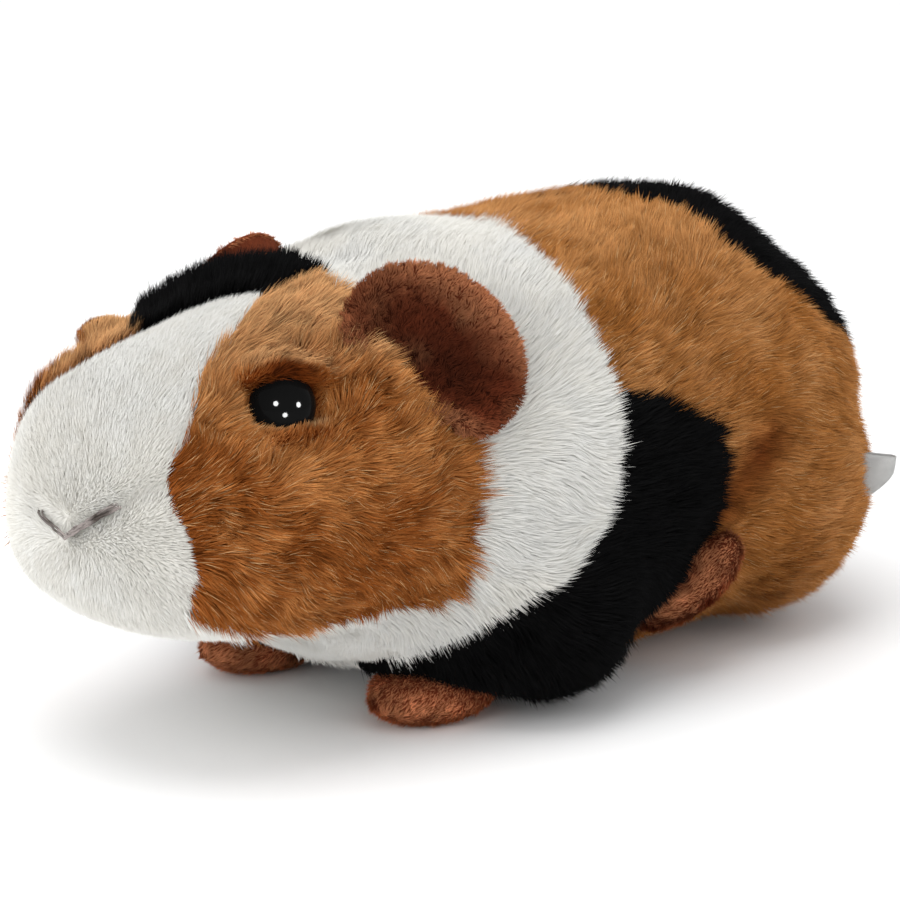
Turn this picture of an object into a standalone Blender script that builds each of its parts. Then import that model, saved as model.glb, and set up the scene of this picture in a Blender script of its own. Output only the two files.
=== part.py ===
"""A stuffed plush guinea pig, 0.2 m long, lying on its belly with its four small feet out.

The stuffed form is modelled whole: a head and a body drawn out of two balls, with haunches and
shoulders blended in. It is then parted by thin cuts into the panels that such a toy is made of.
The feet, ears, eyes, nose stitch and label are pieces of their own, let into the form with the
same thin gap. The faces stand where the tips of the pile stand.

Sizes are in millimetres up to the making of each mesh, which is in metres. The nose points along
-Y, the toy's left side along +X, and up is +Z. The floor is at Z = 0. At the end the whole toy is
moved a little along Y, so that the origin is the middle of its footprint.
"""

import math

import bmesh
import bpy
from mathutils import Matrix, Vector

MM = 0.001
SIDES = ((1, "left"), (-1, "right"))
GAP = 0.3  # between neighbouring pieces
BLOCK = 400  # more than the toy's length, for a cutter that takes a whole side

# Stations of the two drawn-out balls: place along Y, half width, top, widest level, bottom
HEAD_STATIONS = (
    (-97.5, 31, 76, 41, 22),
    (-78, 35, 78, 42, 20.5),
    (-58, 38, 81.5, 43, 19.5),
    (-38, 39.5, 86, 44, 18),
    (-15, 40, 87, 45, 16),
)
BODY_STATIONS = (
    (-62, 43, 86, 42, 3),
    (-20, 49, 86.5, 42, 0),
    (20, 51, 86, 41, -2),
    (60, 50, 90, 39, -2),
    (100.5, 47, 85.5, 39, 1),
)
HEAD_BLUNTNESS = 2.6
BODY_BLUNTNESS = 2.7
SECTION_SQUARENESS = 2.25

# Rounds blended into the form, on the left side: centre and radii
SHOULDER = ((34, -11, 20.5), (19.5, 19.5, 19.5))
FORELEG = ((28, -22, 13), (13, 14, 12))
HAUNCH = ((27, 58.5, 28.2), (24.5, 29, 27.5))

# Blending of the form
VOXEL = 2.2
SMOOTHING_ROUNDS = 12
FORM_TRIANGLES = 2150

# Cuts between the panels: a cell's centre and radii, or a point of a plane and its normal
LEG_CELL = ((41, -4, 24), (20.5, 20.5, 38))
LEG_CELL_AXIS = (4, 34, 21)
HAUNCH_CELL = ((30, 59, 27), (31, 26, 25))
HEAD_CELL_MARGIN = 1.6  # by which the head's cell clears the head's own surface
MUZZLE_CUT = ((0, -87, 40), (0, 1, -0.25))
NECK_CUT = ((0, -1, 60), (0, 1, -0.48))

# Eyes, each at the bottom of a pinched socket
EYE_CENTRE = (25.4, -67.4, 66.0)
EYE_RADIUS = 5.3
SOCKET_DEPTH = 2.4
SOCKET_REACH = 8.0

# Paws
FRONT_FOOT = ((22.5, -27, 5), (10.5, 15, 6.2))
HIND_FOOT = ((40, 25.5, 18), (7, 7, 14))
HIND_FOOT_AXIS = (14, 9, 15)  # from its root under the belly to its toes

# Ears: round cupped flaps, rooted in the head along a straight base line
EAR_BASE_FRONT = (20.8, -49.6, 77)
EAR_BASE_BACK = (40.8, -31.6, 57)
EAR_RIGHT_SHIFT = (-1.5, 1.5, 0)  # the right ear is sewn on a little further back
EAR_LEAN = (-2, 16, 13)
EAR_RADII = (18.3, 17.0, 1.9)
EAR_RISE = 4.5  # of its centre over its base line
EAR_ROOT = 4.0  # of flap below its base line, inside the head
EAR_CUP = 3.0  # by which the rim stands forward of the middle
EAR_CUP_POWER = 3.0  # how late towards the rim it turns forward
EAR_FLATNESS = 0.6  # 1 for a lens, less for a slab with a round rim

# Nose stitch: a wide V of thread on the muzzle, sewn a little askew, as places across and up
STITCH_RIGHT = (-7.5, 47.0)
STITCH_BOTTOM = (2.5, 44.2)
STITCH_LEFT = (12.0, 50.0)
STITCH_RADIUS = 0.9
STITCH_POINTS = 9
STITCH_BEND = 1.2  # 1 for straight legs, more for legs that curl up at their ends

# Label: a short loop of ribbon, pressed flat, in the seam at the rump
LABEL_ROOT = (46.2, 72.5, 30.5)
LABEL_OUTWARD = (0.73, 0.68, -0.12)
LABEL_SIZE = (9.0, 9.5, 0.9)  # reach, height, thickness
LABEL_SUNK = 3.0

# Fineness of the meshes: sides round a piece, and round a cutter between panels
PIECE_SIDES = 14
CELL_SIDES = 12
ROUND_SIDES = 40
HEAD_CELL_RINGS = 12
HEAD_CELL_SIDES = 20
EAR_SIDES = 20
EAR_RINGS = 8
MERGE = 0.002  # points nearer than this are one
FLAT_ANGLE = 1.0  # faces nearer to one plane than this are one, in degrees
SHARP_ANGLE = 50.0

# Colours: base colour and roughness
ORANGE = ((0.32, 0.14, 0.045), 0.9)
WHITE = ((0.70, 0.69, 0.64), 0.9)
BLACK = ((0.006, 0.006, 0.006), 0.85)
BROWN = ((0.11, 0.042, 0.02), 0.95)
EYE_BLACK = ((0.003, 0.003, 0.003), 0.05)
THREAD = ((0.35, 0.27, 0.25), 0.8)
RIBBON = ((0.80, 0.80, 0.80), 0.5)


def clear_scene():
    """Removes every object of the startup scene."""
    for thing in list(bpy.data.objects):
        bpy.data.objects.remove(thing)


def new_object(name, form):
    """An object of that name, with the mesh that a bmesh holds."""
    data = bpy.data.meshes.new(name)
    form.to_mesh(data)
    form.free()
    made = bpy.data.objects.new(name, data)
    bpy.context.scene.collection.objects.link(made)
    return made


def applied(thing):
    """The thing with its modifiers worked into its mesh."""
    graph = bpy.context.evaluated_depsgraph_get()
    data = bpy.data.meshes.new_from_object(thing.evaluated_get(graph))
    thing.modifiers.clear()
    thing.data = data
    return thing


def dressed(thing, colour):
    """The thing with a material of its own, shaded smooth but for its cut edges."""
    base_colour, roughness = colour
    material = bpy.data.materials.new(thing.name)
    material.use_nodes = True
    shader = material.node_tree.nodes["Principled BSDF"]
    shader.inputs["Base Color"].default_value = (*base_colour, 1)
    shader.inputs["Roughness"].default_value = roughness
    shader.inputs["Metallic"].default_value = 0
    thing.data.materials.clear()
    thing.data.materials.append(material)
    thing.data.shade_smooth()
    thing.data.set_sharp_from_angle(angle=math.radians(SHARP_ANGLE))
    return thing


# Shapes


def between_stations(stations, place):
    """The columns of a table of stations at one place along Y, on a smooth curve."""
    if place <= stations[0][0]:
        return stations[0][1:]
    if place >= stations[-1][0]:
        return stations[-1][1:]
    last = max(index for index, row in enumerate(stations) if row[0] <= place)
    before, start = stations[max(last - 1, 0)], stations[last]
    end, after = stations[last + 1], stations[min(last + 2, len(stations) - 1)]
    span = end[0] - start[0]
    t = (place - start[0]) / span
    values = []
    for column in range(1, len(start)):
        slope_in = (end[column] - before[column]) / (end[0] - before[0]) * span
        slope_out = (after[column] - start[column]) / (after[0] - start[0]) * span
        values.append(
            (2 * t**3 - 3 * t**2 + 1) * start[column]
            + (t**3 - 2 * t**2 + t) * slope_in
            + (3 * t**2 - 2 * t**3) * end[column]
            + (t**3 - t**2) * slope_out
        )
    return values


def loaf(name, stations, bluntness, grow=0, rings=44, sides=56):
    """A ball drawn out along Y so that its rings follow the stations."""
    form = bmesh.new()
    bmesh.ops.create_uvsphere(form, u_segments=sides, v_segments=rings, radius=1)
    front, back = stations[0][0], stations[-1][0]
    power = 2 / SECTION_SQUARENESS
    for vertex in form.verts:
        along = max(-1.0, min(1.0, -vertex.co.z))
        place = front + (back - front) * (1 + along) / 2
        half_width, top, level, bottom = between_stations(stations, place)
        size = (1 - abs(along) ** bluntness) ** (1 / bluntness)
        ring = math.hypot(vertex.co.x, vertex.co.y)
        across = vertex.co.x / ring if ring else 0.0
        upward = vertex.co.y / ring if ring else 0.0
        across = math.copysign(abs(across) ** power, across)
        upward = math.copysign(abs(upward) ** power, upward)
        reach = top - level if upward > 0 else level - bottom
        vertex.co = Vector((across * half_width * size, place, level + upward * reach * size))
    bmesh.ops.recalc_face_normals(form, faces=form.faces)
    form.normal_update()
    for vertex in form.verts:
        vertex.co = (vertex.co + vertex.normal * grow) * MM
    return new_object(name, form)


def ball(name, side, shape, grow=0, axis=(0, 0, 1), sides=PIECE_SIDES):
    """An ellipsoid on one side of the toy, its third radius along the axis."""
    centre, radii = shape
    form = bmesh.new()
    bmesh.ops.create_uvsphere(form, u_segments=sides, v_segments=sides * 2 // 3, radius=1)
    stretch = Matrix.Diagonal([radius + grow for radius in radii]).to_4x4()
    place = Matrix.Translation((side * centre[0], centre[1], centre[2]))
    turn = Vector((side * axis[0], axis[1], axis[2])).to_track_quat("Z", "Y").to_matrix().to_4x4()
    form.transform(Matrix.Scale(MM, 4) @ place @ turn @ stretch)
    return new_object(name, form)


def front_foot(name, side, grow=0):
    """A front paw, pressed flat on the floor."""
    foot = ball(name, side, FRONT_FOOT, grow)
    return cut_at_floor(foot)


def hind_foot(name, side, grow=0):
    """A hind paw, turned out from under the belly and up against the haunch."""
    return ball(name, side, HIND_FOOT, grow, HIND_FOOT_AXIS)


def eye(name, side, grow=0):
    """A round button eye."""
    return ball(name, side, (EYE_CENTRE, [EYE_RADIUS] * 3), grow)


def ear(name, side, grow=0):
    """A round flap with a thick rim, cupped forward, cut straight below its base line."""
    form = bmesh.new()
    bmesh.ops.create_uvsphere(form, u_segments=EAR_SIDES, v_segments=EAR_RINGS, radius=1)
    for vertex in form.verts:
        rim = math.hypot(vertex.co.x, vertex.co.y)
        flat = math.copysign(abs(vertex.co.z) ** EAR_FLATNESS, vertex.co.z)
        vertex.co.x *= EAR_RADII[0] + grow
        vertex.co.y *= EAR_RADII[1] + grow
        vertex.co.z = flat * (EAR_RADII[2] + grow) + EAR_CUP * rim**EAR_CUP_POWER
    bmesh.ops.bisect_plane(
        form,
        geom=form.verts[:] + form.edges[:] + form.faces[:],
        dist=MERGE,
        plane_co=(0, -EAR_RISE - EAR_ROOT - grow, 0),
        plane_no=(0, -1, 0),
        clear_outer=True,
    )
    bmesh.ops.holes_fill(form, edges=form.edges)
    start, end = Vector(EAR_BASE_FRONT), Vector(EAR_BASE_BACK)
    chord = (end - start).normalized()
    lean = Vector(EAR_LEAN)
    rise = (lean - chord * lean.dot(chord)).normalized()
    face = chord.cross(rise)
    centre = (start + end) / 2 + rise * EAR_RISE
    if side < 0:
        centre += Vector(EAR_RIGHT_SHIFT)
    frame = Matrix((chord, rise, face)).transposed().to_4x4()
    form.transform(Matrix.Translation(centre) @ frame)
    form.transform(Matrix.Diagonal((side * MM, MM, MM, 1)))
    if side < 0:
        bmesh.ops.reverse_faces(form, faces=form.faces)
    return new_object(name, form)


def nose_stitch(name, muzzle, grow=0):
    """A wide V of thread that follows the front of the muzzle."""
    curve = bpy.data.curves.new(name, "CURVE")
    curve.dimensions = "3D"
    curve.bevel_depth = (STITCH_RADIUS + grow) * MM
    curve.bevel_resolution = 1
    curve.use_fill_caps = True
    spline = curve.splines.new("POLY")
    spline.points.add(STITCH_POINTS - 1)
    for index, point in enumerate(spline.points):
        along = -1 + 2 * index / (STITCH_POINTS - 1)
        end = STITCH_LEFT if along > 0 else STITCH_RIGHT
        leg = Vector(end) - Vector(STITCH_BOTTOM)
        leg *= 1 + grow / leg.length
        rise = abs(along) ** STITCH_BEND
        across, height = Vector(STITCH_BOTTOM) + Vector((leg.x * abs(along), leg.y * rise))
        start = Vector((across, 2 * HEAD_STATIONS[0][0], height)) * MM
        _, place, _, _ = muzzle.ray_cast(start, (0, 1, 0))
        point.co = (*place, 1)
    made = bpy.data.objects.new(name, curve)
    bpy.context.scene.collection.objects.link(made)
    graph = bpy.context.evaluated_depsgraph_get()
    stitched = bpy.data.objects.new(name, bpy.data.meshes.new_from_object(made.evaluated_get(graph)))
    bpy.data.objects.remove(made)
    stitched.name = name
    bpy.context.scene.collection.objects.link(stitched)
    return stitched


def label(name, grow=0):
    """A flat loop of ribbon, its root sunk in the seam."""
    form = bmesh.new()
    bmesh.ops.create_cube(form, size=1)
    reach, height, thickness = LABEL_SIZE
    stretch = Matrix.Diagonal((reach + 2 * grow, thickness + 2 * grow, height + 2 * grow)).to_4x4()
    outward = Vector(LABEL_OUTWARD).normalized()
    turn = outward.to_track_quat("X", "Z").to_matrix().to_4x4()
    centre = Vector(LABEL_ROOT) + outward * (reach / 2 - LABEL_SUNK)
    form.transform(Matrix.Scale(MM, 4) @ Matrix.Translation(centre) @ turn @ stretch)
    return new_object(name, form)


# Cuts


def joined(name, pieces):
    """One object that holds the meshes of the pieces, which are removed."""
    form = bmesh.new()
    for piece in pieces:
        form.from_mesh(piece.data)
        bpy.data.objects.remove(piece)
    return new_object(name, form)


def carved(thing, cutter, operation):
    """The thing after a Boolean with the cutter, which is removed."""
    change = thing.modifiers.new("cut", "BOOLEAN")
    change.solver = "EXACT"
    change.operation = operation
    change.object = cutter
    applied(thing)
    bpy.data.objects.remove(cutter)
    return keep_largest_body(thing)


def keep_largest_body(thing):
    """The thing without the loose slivers that a cut can leave beside its main body."""
    form = bmesh.new()
    form.from_mesh(thing.data)
    bmesh.ops.remove_doubles(form, verts=form.verts, dist=MERGE * MM)
    bmesh.ops.dissolve_degenerate(form, edges=form.edges, dist=MERGE * MM)
    bodies, left = [], set(form.verts)
    while left:
        body, front = set(), [left.pop()]
        while front:
            vertex = front.pop()
            body.add(vertex)
            near = [edge.other_vert(vertex) for edge in vertex.link_edges]
            near = [other for other in near if other in left]
            left.difference_update(near)
            front.extend(near)
        bodies.append(body)
    largest = max(bodies, key=len)
    bmesh.ops.delete(form, geom=[v for v in form.verts if v not in largest], context="VERTS")
    bmesh.ops.triangulate(form, faces=form.faces)
    form.to_mesh(thing.data)
    form.free()
    return thing


def merge_flat_faces(thing):
    """Merges the slivers that cuts leave on one plane, and triangulates them anew."""
    form = bmesh.new()
    form.from_mesh(thing.data)
    bmesh.ops.dissolve_limit(
        form,
        angle_limit=math.radians(FLAT_ANGLE),
        verts=form.verts,
        edges=form.edges,
    )
    bmesh.ops.triangulate(form, faces=form.faces)
    form.to_mesh(thing.data)
    form.free()


def cut_at_floor(thing):
    """The thing without what reaches below the floor, closed with a flat."""
    form = bmesh.new()
    form.from_mesh(thing.data)
    bmesh.ops.bisect_plane(
        form,
        geom=form.verts[:] + form.edges[:] + form.faces[:],
        dist=MERGE * MM,
        plane_co=(0, 0, 0),
        plane_no=(0, 0, -1),
        clear_outer=True,
    )
    bmesh.ops.holes_fill(form, edges=form.edges)
    form.to_mesh(thing.data)
    form.free()
    return thing


def half_space(plane, grow=0):
    """A large block whose top face lies on the plane, on the side away from its normal."""
    point, normal = Vector(plane[0]), Vector(plane[1]).normalized()
    form = bmesh.new()
    bmesh.ops.create_cube(form, size=BLOCK)
    turn = normal.to_track_quat("Z", "Y").to_matrix().to_4x4()
    place = Matrix.Translation(point + normal * (grow - BLOCK / 2))
    form.transform(Matrix.Scale(MM, 4) @ place @ turn)
    return new_object("block", form)


def part_off(thing, name, cell):
    """Parts what lies in a cell off the thing, with a gap along the cut.

    The cell is a function of how far it is grown, and gives a cutter.
    """
    piece = thing.copy()
    piece.data = thing.data.copy()
    piece.name = name
    bpy.context.scene.collection.objects.link(piece)
    carved(piece, cell(-GAP / 2), "INTERSECT")
    carved(thing, cell(GAP / 2), "DIFFERENCE")
    return piece


# The toy


def stuffed_form():
    """The whole stuffed form in one skin, with eye sockets, cut flat where it lies."""
    pieces = [
        loaf("head_form", HEAD_STATIONS, HEAD_BLUNTNESS),
        loaf("body_form", BODY_STATIONS, BODY_BLUNTNESS),
    ]
    for side, _ in SIDES:
        for shape in (SHOULDER, FORELEG, HAUNCH):
            pieces.append(ball("round", side, shape, sides=ROUND_SIDES))
    whole = joined("trunk", pieces)
    blend = whole.modifiers.new("blend", "REMESH")
    blend.mode = "VOXEL"
    blend.voxel_size = VOXEL * MM
    soften = whole.modifiers.new("soften", "SMOOTH")
    soften.iterations = SMOOTHING_ROUNDS
    soften.factor = 0.5
    applied(whole)
    for side, _ in SIDES:
        pinch_socket(whole, side)
    thin = whole.modifiers.new("thin", "DECIMATE")
    whole.data.calc_loop_triangles()
    thin.ratio = FORM_TRIANGLES / len(whole.data.loop_triangles)
    thin.use_symmetry = True
    return cut_at_floor(applied(whole))


def pinch_socket(whole, side):
    """Presses the form in round one eye."""
    centre = Vector((side * EYE_CENTRE[0], EYE_CENTRE[1], EYE_CENTRE[2])) * MM
    inward = Vector((-side, 0.35, 0)).normalized()
    for vertex in whole.data.vertices:
        near = (vertex.co - centre).length / (SOCKET_REACH * MM)
        vertex.co += inward * (SOCKET_DEPTH * MM * math.exp(-(near**2)))


def centre_lengthwise():
    """Moves the whole toy along Y until the middle of its box is over the origin."""
    pieces = list(bpy.data.objects)
    places = [vertex.co.y for piece in pieces for vertex in piece.data.vertices]
    middle = (min(places) + max(places)) / 2
    for piece in pieces:
        piece.data.transform(Matrix.Translation((0, -middle, 0)))


def panel_cells(side):
    """The cells that part off the foreleg and the haunch of one side."""

    def leg_cell(grow):
        return ball("cell", side, LEG_CELL, grow, LEG_CELL_AXIS, CELL_SIDES)

    def haunch_cell(grow):
        return ball("cell", side, HAUNCH_CELL, grow, sides=CELL_SIDES)

    return leg_cell, haunch_cell


def head_cell(grow):
    """The cell that parts the head off the ruff."""
    reach = grow + HEAD_CELL_MARGIN
    return loaf("cell", HEAD_STATIONS, HEAD_BLUNTNESS, reach, HEAD_CELL_RINGS, HEAD_CELL_SIDES)


def main():
    """Models the toy: the form, its panels, and the pieces let into them."""
    clear_scene()
    trunk = stuffed_form()
    legs, haunches = {}, {}
    for side, name in SIDES:
        leg_cell, haunch_cell = panel_cells(side)
        legs[side] = part_off(trunk, f"front_leg_{name}", leg_cell)
        haunches[side] = part_off(trunk, f"hind_leg_{name}", haunch_cell)
    head = part_off(trunk, "head", head_cell)
    muzzle = part_off(head, "muzzle", lambda grow: half_space(MUZZLE_CUT, grow))
    neck = part_off(trunk, "neck", lambda grow: half_space(NECK_CUT, grow))

    for side, name in SIDES:
        for piece, maker, colour, hosts in (
            (f"front_foot_{name}", front_foot, BROWN, (legs[side], trunk, neck)),
            (f"hind_foot_{name}", hind_foot, BROWN, (haunches[side], trunk, legs[side])),
            (f"ear_{name}", ear, BROWN, (head, neck)),
            (f"eye_{name}", eye, EYE_BLACK, (head,)),
        ):
            for host in hosts:
                carved(host, maker("cutter", side, GAP), "DIFFERENCE")
            dressed(maker(piece, side), colour)

    stitch = nose_stitch("nose_stitch", muzzle)
    carved(muzzle, nose_stitch("cutter", muzzle, GAP), "DIFFERENCE")
    tag = label("label")
    for host in (trunk, haunches[1]):
        carved(host, label("cutter", GAP), "DIFFERENCE")

    for piece, colour in (
        *((leg, BLACK) for leg in legs.values()),
        *((haunch, ORANGE) for haunch in haunches.values()),
        (muzzle, WHITE),
        (head, ORANGE),
        (neck, WHITE),
        (trunk, ORANGE),
        (stitch, THREAD),
        (tag, RIBBON),
    ):
        merge_flat_faces(piece)
        dressed(piece, colour)
    centre_lengthwise()


main()
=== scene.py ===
"""Plush toy guinea pig: stuffed skin, pile coat, ears, paws, button eyes, mouth stitches and side label.

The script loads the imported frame, builds every visible piece in that frame and dresses it.
Lengths are in millimetres unless a name says otherwise, and MM turns them into metres.
The toy faces -Y, its left side is +X and it stands on z = 0.
"""

import logging
import math
from dataclasses import dataclass, field
from enum import Enum, IntEnum

import bmesh
import bpy
import numpy as np
from mathutils import Matrix, Vector


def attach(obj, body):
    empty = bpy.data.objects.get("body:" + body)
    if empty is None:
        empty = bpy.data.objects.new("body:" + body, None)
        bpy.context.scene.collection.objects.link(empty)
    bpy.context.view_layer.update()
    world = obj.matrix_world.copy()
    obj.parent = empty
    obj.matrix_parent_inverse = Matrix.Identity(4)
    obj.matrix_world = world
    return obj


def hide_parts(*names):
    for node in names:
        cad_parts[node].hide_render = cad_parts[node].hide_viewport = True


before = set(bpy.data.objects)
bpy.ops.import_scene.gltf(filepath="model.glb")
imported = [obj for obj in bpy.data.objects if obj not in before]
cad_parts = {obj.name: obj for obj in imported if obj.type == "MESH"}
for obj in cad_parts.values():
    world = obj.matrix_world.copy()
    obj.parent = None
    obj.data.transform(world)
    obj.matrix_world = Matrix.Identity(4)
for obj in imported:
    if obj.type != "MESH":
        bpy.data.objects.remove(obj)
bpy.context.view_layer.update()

LOG = logging.getLogger("guinea_pig")

MM = 0.001
BODY = "root"
TOY_MIDDLE = (0.0, 0.0, 45.0)
FLOOR_CLEARANCE = 0.3
PIECE_BLADES = 94000
MERGE = 0.00002
SIDES = (1, -1)

Array = np.ndarray
Colour = tuple[float, float, float]
Place = tuple[float, float, float]
Pair = tuple[float, float]


# Small tools


def unit(vectors: Array) -> Array:
    """The vectors, one in each row, at length one."""
    return vectors / np.maximum(np.linalg.norm(vectors, axis=-1, keepdims=True), 1e-9)


def ramp(values: Array, start: float, end: float) -> Array:
    """A smooth step from 0 at start to 1 at end, which may be below start."""
    share = np.clip((values - start) / (end - start), 0, 1)
    return share * share * (3 - 2 * share)


def bell(distance: Array, width: float, flat: float = 0.0) -> Array:
    """1 up to the flat distance, and falling smoothly to 0 over the width past it."""
    return np.exp(-((np.maximum(distance - flat, 0) / width) ** 2))


def along(vectors: Array, others: Array) -> Array:
    """The dot products of two sets of rows, as a column."""
    return np.sum(vectors * others, axis=-1, keepdims=True)


@dataclass(frozen=True)
class Edge:
    """A marking's edge: a smooth run of places, given by a few pairs of where and how far."""

    stops: tuple[Pair, ...]

    def at(self, where: Array) -> Array:
        """How far the edge lies out at each place."""
        places, reach = zip(*self.stops)
        return np.interp(where, places, reach)


@dataclass(frozen=True)
class Seam:
    """A sewn line through a few points."""

    points: tuple[Place, ...]

    def distance(self, places: Array) -> Array:
        """How far each place is from the line."""
        nearest = np.full(len(places), np.inf)
        corners = np.array(self.points, float)
        for start, end in zip(corners[:-1], corners[1:]):
            run = end - start
            share = np.clip((places - start) @ run / (run @ run), 0, 1)
            gap = np.linalg.norm(places - start - share[:, None] * run, axis=1)
            nearest = np.minimum(nearest, gap)
        return nearest

    def mirrored(self) -> "Seam":
        """The same line on the other side."""
        return Seam(tuple((-x, y, z) for x, y, z in self.points))


@dataclass
class Wander:
    """A smooth random field that repeats after LATTICE cells, the same on every run."""

    cell: float
    seed: int
    channels: int = 1
    lattice: Array = field(init=False)

    LATTICE = 48

    def __post_init__(self) -> None:
        """Draws the values on the lattice's points."""
        draw = np.random.default_rng(self.seed)
        size = (self.LATTICE,) * 3 + (self.channels,)
        self.lattice = draw.standard_normal(size).astype(np.float32)

    def at(self, places: Array) -> Array:
        """The field's values at the places, one row each."""
        spot = places / self.cell + 1000.0
        base = np.floor(spot).astype(int)
        share = spot - base
        share = share * share * (3 - 2 * share)
        total = np.zeros((len(places), self.channels), np.float32)
        for corner in np.ndindex(2, 2, 2):
            weight = np.prod(np.where(corner, share, 1 - share), axis=1)
            index = (base + corner) % self.LATTICE
            total += weight[:, None] * self.lattice[index[:, 0], index[:, 1], index[:, 2]]
        return total


# Finishes


class Value:
    """A node socket that takes part in arithmetic: each operator adds the node that works it out."""

    def __init__(self, bench: "Bench", socket: bpy.types.NodeSocket) -> None:
        """Keeps the socket and the bench whose tree it belongs to."""
        self.bench = bench
        self.socket = socket

    def _made(self, operation: str, first: object, second: object) -> "Value":
        """The result of one Math node."""
        made = self.bench.node("ShaderNodeMath", {"operation": operation}, {0: first, 1: second})
        return self.bench.out(made)

    def __add__(self, other: object) -> "Value":
        """self + other."""
        return self._made("ADD", self, other)

    def __mul__(self, other: object) -> "Value":
        """self * other."""
        return self._made("MULTIPLY", self, other)


class Bench:
    """One material's node tree, with a Principled shader joined to its output."""

    def __init__(self, name: str) -> None:
        """Starts a material of that name.

        Args:
            name: The material's name.
        """
        self.material = bpy.data.materials.new(name)
        self.material.use_nodes = True
        self.tree = self.material.node_tree
        self.tree.nodes.clear()
        self.shader = self.tree.nodes.new("ShaderNodeBsdfPrincipled")
        output = self.tree.nodes.new("ShaderNodeOutputMaterial")
        self.tree.links.new(self.shader.outputs["BSDF"], output.inputs["Surface"])

    def node(self, kind: str, settings: dict | None = None, sockets: dict | None = None) -> bpy.types.Node:
        """Adds a node.

        Args:
            kind: The node's type.
            settings: Its properties, set first.
            sockets: Values, or Value links, of its inputs by name or number.

        Returns:
            The node.
        """
        made = self.tree.nodes.new(kind)
        for name, value in (settings or {}).items():
            setattr(made, name, value)
        for name, value in (sockets or {}).items():
            self.feed(made.inputs[name], value)
        return made

    def feed(self, socket: bpy.types.NodeSocket, value: object) -> None:
        """Gives an input a link, a number or a colour."""
        if isinstance(value, Value):
            self.tree.links.new(value.socket, socket)
        elif isinstance(value, tuple) and len(value) == 3 and socket.type == "RGBA":
            socket.default_value = (*value, 1.0)
        else:
            socket.default_value = value

    def out(self, node: bpy.types.Node, name: str | int = 0) -> Value:
        """One of a node's outputs."""
        return Value(self, node.outputs[name])

    def place(self) -> Value:
        """The piece's own coordinates, in metres."""
        return self.out(self.node("ShaderNodeTexCoord"), "Object")

    def noise(self, scale: float, detail: float = 2.0, roughness: float = 0.5) -> Value:
        """A noise of that many cells to the metre."""
        sockets = {"Vector": self.place(), "Scale": scale, "Detail": detail, "Roughness": roughness}
        return self.out(self.node("ShaderNodeTexNoise", None, sockets), "Fac")

    def attribute(self, name: str) -> Value:
        """The colour kept on the mesh under that name."""
        return self.out(self.node("ShaderNodeAttribute", {"attribute_name": name}), "Color")

    def toned(self, colour: object, level: Value) -> Value:
        """A colour made lighter or darker.

        Args:
            colour: The colour, or a link to one.
            level: What it is multiplied by.

        Returns:
            The toned colour.
        """
        grey = self.out(self.node("ShaderNodeCombineColor", None, {0: level, 1: level, 2: level}))
        settings = {"data_type": "RGBA", "blend_type": "MULTIPLY"}
        return self.out(self.node("ShaderNodeMix", settings, {0: 1.0, 6: colour, 7: grey}), 2)

    def bump(self, height: Value, distance: float) -> Value:
        """A normal that follows a height, where a height of 1 stands for that many metres."""
        sockets = {"Height": height, "Distance": distance, "Strength": 1.0}
        return self.out(self.node("ShaderNodeBump", None, sockets))

    def set(self, **values: object) -> None:
        """Sets the shader's inputs, with underscores for the spaces in their names."""
        for name, value in values.items():
            self.feed(self.shader.inputs[name.replace("_", " ")], value)


@dataclass(frozen=True)
class PileFinish:
    """Plush fibres, whose colour is kept on each blade from root to tip."""

    name: str
    roughness: float
    specular: float
    streak: float

    STREAK_CELLS = 1400.0

    def make(self) -> bpy.types.Material:
        """Builds the material."""
        bench = Bench(self.name)
        level = bench.noise(self.STREAK_CELLS, 3.0) * self.streak + (1.0 - self.streak / 2)
        bench.set(Base_Color=bench.toned(bench.attribute("fibre"), level), Roughness=self.roughness)
        bench.set(Specular_IOR_Level=self.specular)
        return bench.material


@dataclass(frozen=True)
class BackingFinish:
    """The knitted cloth that the pile grows from, in the same markings, darker."""

    name: str

    KNIT_CELLS = 1100.0
    STITCH_DEPTH = 0.0004

    def make(self) -> bpy.types.Material:
        """Builds the material."""
        bench = Bench(self.name)
        knit = bench.noise(self.KNIT_CELLS)
        bench.set(Base_Color=bench.toned(bench.attribute("fibre"), knit * 0.5 + 0.75), Roughness=0.95)
        bench.set(Specular_IOR_Level=0.05, Normal=bench.bump(knit, self.STITCH_DEPTH))
        return bench.material


@dataclass(frozen=True)
class ButtonFinish:
    """Polished black plastic with the faint smears of handling."""

    name: str
    colour: Colour

    SMEAR_CELLS = 420.0

    def make(self) -> bpy.types.Material:
        """Builds the material."""
        bench = Bench(self.name)
        smear = bench.noise(self.SMEAR_CELLS, 4.0, 0.6)
        bench.set(Base_Color=self.colour, Roughness=smear * 0.05 + 0.045)
        bench.set(Specular_IOR_Level=0.025, IOR=1.5)
        return bench.material


@dataclass(frozen=True)
class ThreadFinish:
    """Embroidery thread, whose colour is kept on the stitches."""

    name: str

    TWIST_CELLS = 2600.0
    TWIST_DEPTH = 0.0001

    def make(self) -> bpy.types.Material:
        """Builds the material."""
        bench = Bench(self.name)
        strand = bench.noise(self.TWIST_CELLS)
        bench.set(Base_Color=bench.toned(bench.attribute("fibre"), strand * 0.6 + 0.7), Roughness=0.8)
        bench.set(Specular_IOR_Level=0.1, Normal=bench.bump(strand, self.TWIST_DEPTH))
        return bench.material


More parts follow.
